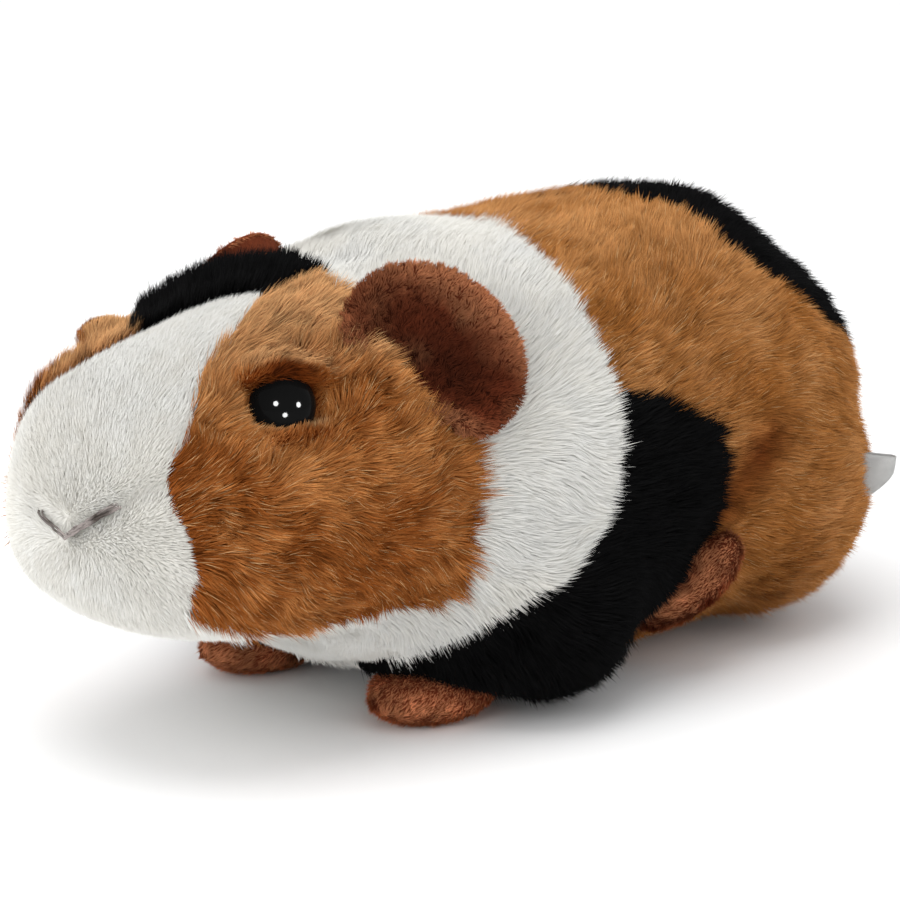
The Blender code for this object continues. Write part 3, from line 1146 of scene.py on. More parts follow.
@dataclass(frozen=True)
class Combing:
    """Which way the pile lies: from the nose to the tail, up over the cheeks and down the rump."""

    nose: float = -104.0
    run: Pair = (10.0, 60.0)
    level: float = 46.0
    outward: float = 0.36
    shoulders: Pair = (-45.0, -20.0)
    shoulder_spread: float = 0.8
    loins: Pair = (60.0, 8.0)
    ear_height: Pair = (50.0, 62.0)
    ear_back: Pair = (-26.0, -40.0)
    ear_side: Pair = (14.0, 24.0)
    ear_steepness: float = 1.5
    rump: Pair = (52.0, 96.0)
    rump_fall: float = 72.0
    eye_reach: Pair = (10.0, 5.0)
    eye_push: Pair = (26.0, -30.0)
    eye_corner: float = -0.3
    broad_turn: float = 0.4
    fine_turn: float = 0.2
    head_turn: float = 0.35
    head: Pair = (-34.0, -40.0)
    muzzle: Pair = (-78.0, -88.0)
    blaze_side: Pair = (18.0, 11.0)
    blaze_back: Pair = (-44.0, -50.0)
    smoothing: float = 0.8

    def lay(self, places: Array, normals: Array) -> Array:
        """The pile's directions along the skin.

        Args:
            places: Roots on the skin.
            normals: The skin's normals there.

        Returns:
            Directions at length one.
        """
        x, y, z = places.T
        spread = (1.0 + self.shoulder_spread * ramp(y, *self.shoulders)) * ramp(y, *self.loins)
        steep = self.ear_steepness * ramp(z, *self.ear_height) * ramp(y, *self.ear_back)
        rise = spread * (z - self.level) * (1 + steep * ramp(np.abs(x), *self.ear_side))
        rise -= self.rump_fall * ramp(y, *self.rump)
        flow = np.stack((self.outward * x, np.clip(y - self.nose, *self.run), rise), axis=1)
        for side in SIDES:
            height, _ = EYE.split(places, side)
            away = places - EYE.middle(side)
            away -= height[:, None] * EYE.axis(side)
            push = np.where(EYE.upward(places, side) > self.eye_corner, *self.eye_push)
            flow += unit(away) * (push * EYE.closeness(places, side, *self.eye_reach))[:, None]
        flow -= normals * along(flow, normals)
        flow = unit(flow)
        turn = self._turn(places)[:, None]
        return unit(flow * np.cos(turn) + np.cross(normals, flow) * np.sin(turn))

    def _turn(self, places: Array) -> Array:
        """How far the pile strays from its way, in radians: most on the cheeks, least on the blaze."""
        x, y, _ = places.T
        turn = Wander(16.0, 5).at(places)[:, 0] * self.broad_turn
        turn += Wander(4.0, 6).at(places)[:, 0] * (self.fine_turn + self.head_turn * ramp(y, *self.head))
        blaze = ramp(np.abs(x), *self.blaze_side) * ramp(y, *self.blaze_back)
        turn *= 1 - self.smoothing * np.maximum(ramp(y, *self.muzzle), blaze)
        return turn


COMBING = Combing()


@dataclass
class Coat:
    """The long pile over the whole skin, sewn from white, orange and black plush."""

    skin: Skin
    seed: int = 20
    length_spread: float = 0.14
    length_range: Pair = (0.5, 1.35)
    clump_cell: float = 2.0
    lock_cell: float = 7.0
    lock_share: float = 0.7
    loose_stray: float = 0.5
    stray_length: float = 8.0
    flattening: float = 0.6
    roll_spread: float = 0.35
    roll_base: float = 0.4
    roll_gain: float = 2.0
    lift_spread: float = 8.0
    fall_spread: float = 9.0
    tip_height: float = 0.9
    tip_reach: float = 0.32
    tip_spread: float = 0.3
    paw_overlap: float = 0.4
    seen_height: float = 3.5
    eye_clip: float = 0.62
    mouth_clip: float = 0.25
    fold_clip: float = 0.25
    paw_clip: float = 0.55
    paw_reach: Pair = (4.0, 0.5)
    chart_reach: Place = (50.0, 100.0, 45.0)

    def build(self) -> list[bpy.types.Object]:
        """Grows the pile, and parts it into pieces by colour and from nose to tail."""
        draw = np.random.default_rng(self.seed)
        roots, patch = self._roots(self.skin.thing.data, draw)
        blades = self._grown(roots, patch, draw)
        plush_of = np.array([list(Plush).index(PILES[kind].plush) for kind in Patch])
        pieces = []
        for number, plush in enumerate(Plush):
            own = np.flatnonzero(plush_of[patch] == number)
            if not len(own):
                continue
            own = own[np.argsort(blades.chart[own, 1], kind="stable")]
            lots = np.array_split(own, math.ceil(len(own) / PIECE_BLADES))
            material = COAT_FINISHES[plush].make()
            for index, lot in enumerate(lots):
                name = f"coat_{plush.name.lower()}_{index + 1}"
                thing = linked(name, blades.take(lot).mesh(name))
                pieces.append(finished(thing, material))
        return pieces

    def _roots(self, mesh: bpy.types.Mesh, draw: np.random.Generator) -> tuple[Roots, Array]:
        """Spreads the roots, leaves the eyes and paws bare, and says which panel each tip is in."""
        patch = MARKINGS.patch(points_of(mesh) + normals_of(mesh) * self.seen_height)
        roots = Roots.scattered(mesh, by_patch("density", patch), draw)
        keep = np.ones(len(roots.places), bool)
        for side in SIDES:
            keep &= ~EYE.bare(roots.places, side)
        for paw in PAWS:
            keep &= paw.gap(roots.places) > -self.paw_overlap
        roots = roots.kept(keep)
        lay = COMBING.lay(roots.places, roots.normals)
        rough = MARKINGS.patch(roots.places + roots.normals * self.seen_height)
        jitter = draw.normal(0, self.tip_spread, roots.places.shape)
        up = by_patch("depth", rough)[:, None] * self.tip_height
        out = by_patch("length", rough)[:, None] * self.tip_reach
        return roots, MARKINGS.patch(roots.places + roots.normals * up + lay * out + jitter)

    def _grown(self, roots: Roots, patch: Array, draw: np.random.Generator) -> Blades:
        """Gives each root its fibre."""
        count = len(patch)
        length = 1 + self.length_spread * draw.standard_normal(count)
        length = by_patch("length", patch) * length.clip(*self.length_range) * self._clipping(roots.places)
        clump = Wander(self.clump_cell, 11, 3).at(roots.places)
        lock = Wander(self.lock_cell, 12, 3).at(roots.places)
        stray = clump + lock * self.lock_share + draw.normal(0, self.loose_stray, (count, 3))
        stray *= (length / self.stray_length * by_patch("wander", patch))[:, None]
        stray -= roots.normals * along(stray, roots.normals) * self.flattening
        ruffle = by_patch("ruffle", patch)[:, None]
        roll = draw.normal(0, self.roll_spread, (count, 1))
        roll *= (self.roll_base + self.roll_gain * ruffle).clip(0, 1)
        shade = unit(roots.normals + ruffle * (draw.standard_normal((count, 3)) + 0.8 * clump))
        root_colour, tip_colour = TINTS.colours(roots, patch, draw)
        return Blades(
            roots=roots,
            lay=COMBING.lay(roots.places, roots.normals),
            length=length,
            width=by_patch("width", patch) * draw.uniform(0.75, 1.25, count),
            stray=stray,
            roll=roll,
            root_lift=np.radians(by_patch("lift", patch) + draw.normal(0, self.lift_spread, count)),
            tip_lift=np.radians(by_patch("fall", patch) + draw.normal(0, self.fall_spread, count)),
            root_colour=root_colour,
            tip_colour=tip_colour,
            shade=shade,
            chart=ball_chart(roots.places, TOY_MIDDLE, self.chart_reach),
            round_share=by_patch("round_share", patch),
        )

    def _clipping(self, places: Array) -> Array:
        """How much shorter the pile is clipped round the eyes and paws, along the mouth and in the folds."""
        short = np.ones(len(places))
        for side in SIDES:
            short *= 1 - self.eye_clip * EYE.closeness(places, side, 13, 6.0)
        short *= 1 - self.mouth_clip * ramp(SEAMS.mouth.distance(places), 3.0, 1.5)
        for seam in HAUNCHES:
            short *= 1 - self.fold_clip * ramp(seam.distance(places), 7.0, 4.0)
        for paw in PAWS:
            short *= 1 - self.paw_clip * ramp(paw.gap(places), *self.paw_reach)
        return short


@dataclass(frozen=True)
class Tints:
    """How the colour of the pile varies from fibre to fibre, with painted shade and painted top light."""

    mix_base: float = 0.25
    mix_top_light: float = 0.5
    mix_broad: float = 0.35
    mix_fine: float = 0.25
    mix_grain: float = 0.22
    level_fine: float = 0.20
    level_broad: float = 0.07
    level_grain: float = 0.14
    level_fold_shade: float = 0.4
    level_range: Pair = (0.3, 1.45)
    top_light_share: float = 0.85
    top_light_slope: Pair = (0.5, 0.95)
    top_shade_share: float = 0.1
    top_shade_slope: Pair = (0.3, 0.9)
    mouth_shade: float = 0.38
    mouth_reach: float = 0.9
    brightest: float = 0.94

    def colours(self, roots: Roots, patch: Array, draw: np.random.Generator) -> tuple[Array, Array]:
        """The colours of each fibre's root and tip, with their painted light and shade.

        Args:
            roots: Where the fibres start.
            patch: The panel that each is in.
            draw: Where the random numbers come from.

        Returns:
            The root colours and the tip colours, one row each.
        """
        places, upward = roots.places, roots.normals[:, 2:]
        column = (len(patch), 1)
        root, tip, other = (by_patch(name, patch) for name in ("root", "tip", "alternate"))
        fine = Wander(1.6, 21).at(places)
        broad = Wander(9.0, 22).at(places)
        # Painted top light: fibres that face up take more of the alternate tip colour, mostly a lighter one.
        mix = self.mix_base + self.mix_top_light * np.maximum(upward, 0)
        mix = mix + self.mix_broad * broad + self.mix_fine * fine + draw.normal(0, self.mix_grain, column)
        # Painted shade in the folds: darker tips and roots there, with the lighter mix and the glints held
        # back.
        fold = folds(places)
        mix = np.clip(mix, 0, 1) * (1 - fold)
        tip = tip * (1 - mix) + other * mix
        # Only the orange pile takes the painted fold shade colour at its tips.
        folded = fold * (root[:, :1] > root[:, 2:] * 3)
        tip = tip * (1 - folded) + np.array(FOLD_SHADE_TIP) * folded
        # Painted top light on the cheeks: upward-facing tips turn pale.
        pale = ramp(upward, *self.top_light_slope) * (patch == Patch.CHEEK)[:, None] * (1 - fold) * self.top_light_share
        tip = tip * (1 - pale) + np.array(TOP_LIGHT_TIP) * pale
        level = self.level_fine * fine + self.level_broad * broad
        level = level + draw.normal(0, self.level_grain, column) - self.level_fold_shade * fold
        level = np.clip(1 + by_patch("swing", patch)[:, None] * level, *self.level_range)
        level = level * self._mouth_crease_shade(places) * (1 - self._top_shade(tip, upward))
        # Painted highlights: a few fibres take the glint colour.
        shine = (draw.random(len(patch)) < by_patch("glint", patch))[:, None] & (fold < 0.2)
        tip = np.where(shine, np.array(GLINT), tip * level)
        return root * level, np.clip(tip, 0, self.brightest)

    def _mouth_crease_shade(self, places: Array) -> Array:
        """How light the pile is along the mouth, darkened there as painted shade in the crease where it
        parts.
        """
        gap = np.minimum(SEAMS.mouth.distance(places), SEAMS.mouth_corner.distance(places) + 0.2)
        return 1 - self.mouth_shade * bell(gap, self.mouth_reach, 1.0)[:, None]

    def _top_shade(self, tip: Array, upward: Array) -> Array:
        """How much the white pile is painted darker where it faces up: painted shade that tones down its lit
        top.
        """
        return (tip[:, 2:] > 0.5) * self.top_shade_share * ramp(upward, *self.top_shade_slope)


TINTS = Tints()
COAT_FINISHES = {
    Plush.WHITE: PileFinish("white_pile", roughness=0.85, specular=0.1, streak=0.04),
    Plush.ORANGE: PileFinish("orange_pile", roughness=0.7, specular=0.05, streak=0.3),
    Plush.BLACK: PileFinish("black_pile", roughness=0.7, specular=0.025, streak=0.4),
    Plush.BROWN: PileFinish("brown_pile", roughness=0.8, specular=0.05, streak=0.3),
}


# Ears and paws


def side_name(side: int) -> str:
    """left for +X and right for -X."""
    return "left" if side > 0 else "right"


@dataclass(frozen=True)
class ShortPile:
    """The short brown pile of the ears and paws."""

    clump_cell: float = 1.1
    clump_stray: float = 0.3
    loose_stray: float = 0.14
    tone_cell: float = 0.9
    tone_swing: float = 0.12
    sandy_cell: float = 5.0
    sandy_swing: float = 0.4
    sandy_slope: float = 0.7
    sandy_start: float = 0.4
    width: float = 0.17
    roll_spread: float = 0.5
    round_share: float = 0.35

    def grown(
        self, roots: Roots, flow: Array, length: float, level: Array, chart: Array, draw: np.random.Generator
    ) -> Blades:
        """Gives each root its fibre.

        Args:
            roots: Where the fibres start.
            flow: Which way they lie, before it is laid along the skin.
            length: Their length.
            level: How light each is, which on the ears holds painted light and shade; the lightest are sandy.
            chart: Each root's place on the unwrapped skin.
            draw: Where the random numbers come from.

        Returns:
            The fibres.
        """
        count = len(flow)
        clump = Wander(self.clump_cell, 41, 3).at(roots.places)
        tone = Wander(self.tone_cell, 42).at(roots.places) * self.tone_swing
        light = level[:, None] * (1 + (tone + draw.normal(0, self.tone_swing, (count, 1))))
        sandy = self.sandy_slope * level[:, None] - self.sandy_start
        sandy = np.clip(sandy + self.sandy_swing * Wander(self.sandy_cell, 43).at(roots.places), 0, 1)
        tip = np.array(BROWN_TIP) * (1 - sandy) + np.array(SANDY_BROWN_TIP) * sandy
        return Blades(
            roots=roots,
            lay=unit(flow - roots.normals * along(flow, roots.normals)),
            stray=clump * self.clump_stray + draw.normal(0, self.loose_stray, (count, 3)),
            length=length * draw.uniform(0.7, 1.2, count),
            width=self.width * draw.uniform(0.8, 1.2, count),
            roll=draw.normal(0, self.roll_spread, (count, 1)),
            root_lift=np.radians(draw.normal(55, 10, count)),
            tip_lift=np.radians(draw.normal(28, 12, count)),
            root_colour=np.array(BROWN_ROOT) * light,
            tip_colour=tip * light,
            shade=unit(roots.normals + 0.3 * draw.standard_normal((count, 3)) + 0.2 * clump),
            chart=chart,
            round_share=np.full(count, self.round_share),
        )

    def cover(self, name: str, blades: Blades) -> bpy.types.Object:
        """One piece of all the fibres, in the brown plush."""
        return finished(linked(name, blades.mesh(name)), COAT_FINISHES[Plush.BROWN].make())


SHORT_PILE = ShortPile()


@dataclass
class Ear:
    """A round flap of short brown plush with a thick rolled rim, cupped forward."""

    side: int
    base_front: Place = (20.8, -50.75, 77.0)
    base_back: Place = (40.8, -32.75, 57.0)
    right_back: Place = (34.3, -26.25, 60.5)
    right_shift: Place = (-2.2, 2.1, -2.7)
    lean: Place = (-2.0, 16.0, 13.0)
    right_lean: Place = (-2.0, 17.0, 10.0)
    reach: Pair = (17.3, 16.1)
    middle_half: float = 0.55
    rim_half: float = 1.25
    rim_at: float = 0.86
    rim_width: float = 0.13
    edge_rounding: float = 0.5
    cup: float = 3.0
    cup_power: float = 3.0
    cup_span: Pair = (-0.8, -0.35)
    valley: float = 0.35
    valley_at: float = 0.5
    valley_width: float = 0.16
    rise_up: float = 4.5
    cut_at: float = -11.5
    tilt: float = 0.3
    bare_base: float = 0.6
    pile_length: float = 1.25
    pile_density: float = 24.0
    pile_wander: float = 12.0
    hollow_middle: Pair = (5.0, 0.5)
    hollow_reach: Pair = (12.0, 8.0)
    hollow_shade: float = 0.6
    top_light: float = 1.1
    right_top_light: float = 1.9
    thing: bpy.types.Object = field(init=False)

    def axes(self) -> tuple[Vector, Vector, Vector, Vector]:
        """The flap's middle, and its directions along its base, up its height and out of its face."""
        start = Vector(self.base_front)
        end = Vector(self.base_back if self.side > 0 else self.right_back)
        chord = (end - start).normalized()
        lean = Vector(self.lean if self.side > 0 else self.right_lean)
        rise = (lean - chord * lean.dot(chord)).normalized()
        centre = (start + end) / 2 + rise * self.rise_up
        if self.side < 0:
            centre += Vector(self.right_shift)
        return centre, chord, rise, chord.cross(rise)

    def matrix(self) -> Matrix:
        """Turns the flap's own millimetres into its place on the toy."""
        centre, chord, rise, face = self.axes()
        turn = Matrix((chord, rise, face)).transposed().to_4x4()
        return Matrix.Diagonal((self.side, 1, 1, 1)) @ Matrix.Translation(centre) @ turn

    def build(self) -> bpy.types.Object:
        """Shapes the flap from a ball, and cuts it straight along its base."""
        form = bmesh.new()
        bmesh.ops.create_uvsphere(form, u_segments=96, v_segments=48, radius=1)
        for point in form.verts:
            self._shape(point)
        everything = form.verts[:] + form.edges[:] + form.faces[:]
        base, down = (0, self.cut_at, 0), (self.tilt, -1, 0)
        bmesh.ops.bisect_plane(
            form, geom=everything, dist=MERGE, plane_co=base, plane_no=down, clear_outer=True
        )
        bmesh.ops.holes_fill(form, edges=form.edges)
        bmesh.ops.triangulate(form, faces=form.faces)
        form.transform(Matrix.Scale(MM, 4) @ self.matrix())
        bmesh.ops.recalc_face_normals(form, faces=form.faces)
        self.thing = ordered(f"soft_ear_{side_name(self.side)}", form)
        return self.thing

    def _shape(self, point: bmesh.types.BMVert) -> None:
        """Moves a point of the ball to its place on the flap."""
        across, up, through = point.co
        rim = min(math.hypot(across, up), 1.0)
        rounding = min(math.sqrt(max(1 - rim * rim, 0.0)) / self.edge_rounding, 1.0)
        roll = math.exp(-(((rim - self.rim_at) / self.rim_width) ** 2))
        half = (self.middle_half + (self.rim_half - self.middle_half) * roll) * rounding
        face = 0 if abs(through) < 1e-6 else math.copysign(1, through)
        dip = 0.0
        if face > 0:
            dip = self.valley * math.exp(-(((rim - self.valley_at) / self.valley_width) ** 2))
        cup = self.cup * rim**self.cup_power * float(ramp(np.float64(up), *self.cup_span))
        point.co = (across * self.reach[0], up * self.reach[1], face * half + cup - dip)

    def local(self, places: Array) -> Array:
        """Places of the toy in the flap's own millimetres."""
        back = np.array(self.matrix().inverted())
        return places @ back[:3, :3].T + back[:3, 3]

    def dress(self) -> list[bpy.types.Object]:
        """Covers the flap in short pile, combed from its base to its rim."""
        name = side_name(self.side)
        mesh = self.thing.data
        # The ear's backing and pile carry its painted light and shade.
        paint(mesh, np.array(BROWN_ROOT) * self._shade(self.local(points_of(mesh)))[:, None])
        finished(self.thing, BackingFinish("ear_backing").make(), (f"ear_{name}",))
        draw = np.random.default_rng(31 + self.side)
        roots = Roots.scattered(mesh, np.full(len(mesh.vertices), self.pile_density), draw)
        roots = roots.kept(self.local(roots.places)[:, 1] > self.cut_at + self.bare_base)
        own = self.local(roots.places)
        out = np.stack((own[:, 0] * 0.9, own[:, 1] + 12, np.zeros(len(own))), axis=1)
        out += self.pile_wander * Wander(1.1, 44, 3).at(own)
        flow = out @ np.array(self.matrix())[:3, :3].T
        chart = ball_chart(own, (0, 0, 1), (*self.reach, 2.5))
        blades = SHORT_PILE.grown(roots, flow, self.pile_length, self._shade(own), chart, draw)
        return [self.thing, SHORT_PILE.cover(f"ear_pile_{name}", blades)]

    def _shade(self, own: Array) -> Array:
        """How light the pile is: painted light at the top of the rim, lighter at the base, and painted shade
        darkest in the hollow.
        """
        x, y, z = own.T
        rim = np.hypot(x / self.reach[0], y / self.reach[1])
        front = z > self.cup * rim**self.cup_power - self.valley * 0.7
        aside = (x - self.hollow_middle[0]) / self.hollow_reach[0]
        above = (y - self.hollow_middle[1]) / self.hollow_reach[1]
        hollow = np.exp(-(aside**2) - above**2) * front
        base = ramp(y, -2.0, -8.0)
        top_light = self.top_light if self.side > 0 else self.right_top_light
        # Painted light: the rim is lighter, most at its top.
        edge = (0.3 + top_light * ramp(y, 3.0, 13.0)) * ramp(rim, 0.45, 0.95)
        return (1.0 + edge - self.hollow_shade * hollow) * (1 + 0.5 * base)


@dataclass
class Paw:
    """A small foot of brown plush."""

    node: str
    side: int
    centre: Place
    radii: Place
    axis: Place
    shift: Place = (0.0, 0.0, 0.0)
    inset: float = 0.8
    voxel: float = 0.7
    rounds: int = 6
    lightness: float = 3.3
    mottling: float = 0.8
    pile_length: float = 1.6
    pile_density: float = 14.0
    combing: Place = (0.25, -1.0, -0.35)
    thing: bpy.types.Object = field(init=False)

    def middle(self) -> Array:
        """The paw's middle on its side."""
        return np.array(self.centre) * (self.side, 1, 1)

    def turn(self) -> Array:
        """The paw's own axes, with its length along the third, one in each row."""
        long = Vector(self.axis).normalized()
        matrix = long.to_track_quat("Z", "Y").to_matrix().transposed()
        return np.array(matrix) * (self.side, 1, 1)

    def gap(self, places: Array) -> Array:
        """About how far each place is from the paw's surface, below 0 inside it."""
        own = (places - self.middle()) @ self.turn().T
        return (np.linalg.norm(own / np.array(self.radii), axis=1) - 1) * min(self.radii)

    def build(self) -> bpy.types.Object:
        """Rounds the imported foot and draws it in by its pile's depth."""
        mesh = remeshed(joined([merged_node(self.node)], "foot"), self.voxel, self.rounds)
        shift = np.array(self.shift) * (self.side, 1, 1)
        move_points(mesh, points_of(mesh) + shift - normals_of(mesh) * self.inset)
        self.thing = linked(f"soft_{self.node}", mesh)
        return self.thing

    def dress(self) -> list[bpy.types.Object]:
        """Covers the paw in short pile, combed forwards and down."""
        mesh = self.thing.data
        points = points_of(mesh)
        paint(mesh, np.array(BROWN_ROOT) * self._shade(points)[:, None])
        finished(self.thing, BackingFinish("paw_backing").make(), (self.node,))
        draw = np.random.default_rng(len(self.node) + self.side)
        roots = Roots.scattered(mesh, np.full(len(points), self.pile_density), draw)
        level = self._shade(roots.places)
        flow = np.tile(np.array(self.combing) * (self.side, 1, 1), (len(level), 1))
        chart = ball_chart(roots.places, tuple(self.middle()), self.radii)
        blades = SHORT_PILE.grown(roots, flow, self.pile_length, level, chart, draw)
        return [self.thing, SHORT_PILE.cover(f"paw_pile_{self.node}", blades)]

    def _shade(self, places: Array) -> Array:
        """How light the pile is, a little mottled."""
        return self.lightness + self.mottling * Wander(3.2, 51).at(places)[:, 0]


FRONT_PAW = {"centre": (22.5, -28.15, 5.0), "radii": (10.5, 15.0, 6.2), "axis": (0.0, 0.0, 1.0)}
HIND_PAW = {
    "centre": (40.0, 23.4, 17.8),
    "radii": (7.2, 7.2, 13.5),
    "axis": (14.0, 9.0, 15.0),
    "shift": (0.0, -1.0, 0.0),
    "inset": 1.1,
    "lightness": 2.25,
}
PAWS = [Paw(f"front_foot_{side_name(side)}", side, **FRONT_PAW) for side in SIDES]
PAWS += [Paw(f"hind_foot_{side_name(side)}", side, **HIND_PAW) for side in SIDES]


# Eyes, mouth and label


@dataclass
class ButtonEye:
    """A round polished button, pressed into its socket."""

    side: int
    colour: Colour = (0.0003, 0.0003, 0.0003)
    thing: bpy.types.Object = field(init=False)

    def build(self) -> bpy.types.Object:
        """Turns the button, a little flatter in front than a ball."""
        form = bmesh.new()
        bmesh.ops.create_uvsphere(form, u_segments=64, v_segments=40, radius=1)
        axis = Vector(EYE.axis(self.side))
        turn = axis.to_track_quat("Z", "Y").to_matrix().to_4x4()
        size = Matrix.Diagonal((EYE.radius, EYE.radius, EYE.radius * EYE.flat, 1))
        place = Matrix.Translation(Vector(EYE.middle(self.side)))
        form.transform(Matrix.Scale(MM, 4) @ place @ turn @ size)
        self.thing = shaped(f"button_eye_{side_name(self.side)}", form)
        return self.thing

    def dress(self) -> bpy.types.Object:
        """Gives the button its polish."""
        finish = ButtonFinish("eye_polish", self.colour)
        return finished(self.thing, finish.make(), (f"eye_{side_name(self.side)}",))


def extruded(form: bmesh.types.BMesh, edges: list) -> tuple[list, list]:
    """The new points and edges of a row of edges that is extruded, still in the same place."""
    grown = bmesh.ops.extrude_edge_only(form, edges=edges)["geom"]
    points = [item for item in grown if isinstance(item, bmesh.types.BMVert)]
    edges = [item for item in grown if isinstance(item, bmesh.types.BMEdge)]
    return points, [edge for edge in edges if all(point in points for point in edge.verts)]


@dataclass
class MouthStitches:
    """Rows of thread that draw the mouth as a shallow V: dark outer rows and a pale filling."""

    left: Place = (-7.6, -97.9, 47.3)
    bottom: Place = (2.2, -98.9, 43.9)
    right: Place = (12.2, -96.2, 50.4)
    rows: int = 7
    long_rows: int = 2
    spacing: float = 0.36
    thread: float = 0.2
    sunk: float = 0.8
    end_sunk: float = 1.4
    wander: float = 0.08
    stitch_points: int = 14
    ring_points: int = 8
    dark_corner: Place = (8.8, -96.4, 48.2)
    dark_corner_reach: float = 1.5
    pale: Colour = (0.33, 0.29, 0.275)
    dark: Colour = (0.045, 0.036, 0.03)
    seed: int = 71
    thing: bpy.types.Object = field(init=False)

    def build(self) -> bpy.types.Object:
        """Lays each thread as a bent tube along the V; only the lowest rows run up its left side."""
        draw = np.random.default_rng(self.seed)
        whole = bmesh.new()
        left, bottom, right = (np.array(corner) for corner in (self.left, self.bottom, self.right))
        for row in range(self.rows):
            left_share = 1 - 0.06 * row if row < self.long_rows else 0.05
            low = bottom + (0.4 * row, 0.05 * row, row * self.spacing)
            start = low + (left - bottom) * left_share
            end = right - (0.2 * row, 0, -0.12 * row)
            self._tube(whole, self._path(start, low, end, draw))
        self.thing = shaped("mouth_stitches", whole)
        return self.thing

    def _path(self, start: Array, low: Array, end: Array, draw: np.random.Generator) -> Array:
        """The points of one thread, sunk at both ends."""
        share = np.linspace(0, 1, self.stitch_points)
        legs = [start + (low - start) * t for t in share] + [low + (end - low) * t for t in share[1:]]
        path = np.array(legs) + draw.normal(0, self.wander, (len(legs), 3))
        ends = np.abs(np.linspace(-1, 1, len(path)))
        path[:, 1] += self.sunk + self.end_sunk * ramp(ends, 0.65, 1.0) ** 2
        return path

    def _tube(self, whole: bmesh.types.BMesh, path: Array) -> None:
        """Sweeps a ring along the path by extruding it from point to point."""
        ways = np.gradient(path, axis=0)
        made = bmesh.ops.create_circle(whole, cap_ends=False, radius=self.thread, segments=self.ring_points)
        ring = made["verts"]
        edges = list({edge for point in ring for edge in point.link_edges})
        turn = Vector(ways[0]).to_track_quat("Z", "Y").to_matrix().to_4x4()
        bmesh.ops.transform(whole, matrix=Matrix.Translation(path[0]) @ turn, verts=ring)
        bmesh.ops.scale(whole, vec=(MM,) * 3, verts=ring)
        for place, way in zip(path[1:], ways[1:]):
            ring, edges = extruded(whole, edges)
            flat = Vector(way).normalized()
            middle = sum((point.co for point in ring), Vector()) / len(ring)
            for point in ring:
                out = point.co - middle
                out -= flat * out.dot(flat)
                point.co = Vector(place) * MM + out.normalized() * self.thread * MM
        bmesh.ops.holes_fill(whole, edges=whole.edges)
        bmesh.ops.recalc_face_normals(whole, faces=whole.faces)

    def dress(self) -> bpy.types.Object:
        """Colours the threads, dark along the left and in the right-hand corner, and gives their finish."""
        mesh = self.thing.data
        points = points_of(mesh)
        left = ramp(points[:, 0], self.bottom[0] - 1.0, self.bottom[0] - 3.0)
        from_corner = np.linalg.norm(points - np.array(self.dark_corner), axis=1)
        fleck = 0.5 * np.maximum(Wander(0.7, 61).at(points)[:, 0], 0)
        dark = np.clip(0.6 * left + bell(from_corner, self.dark_corner_reach) + fleck, 0, 1)[:, None]
        paint(mesh, np.array(self.pale) * (1 - dark) + np.array(self.dark) * dark)
        return finished(self.thing, ThreadFinish("mouth_thread").make(), ("nose_stitch",))


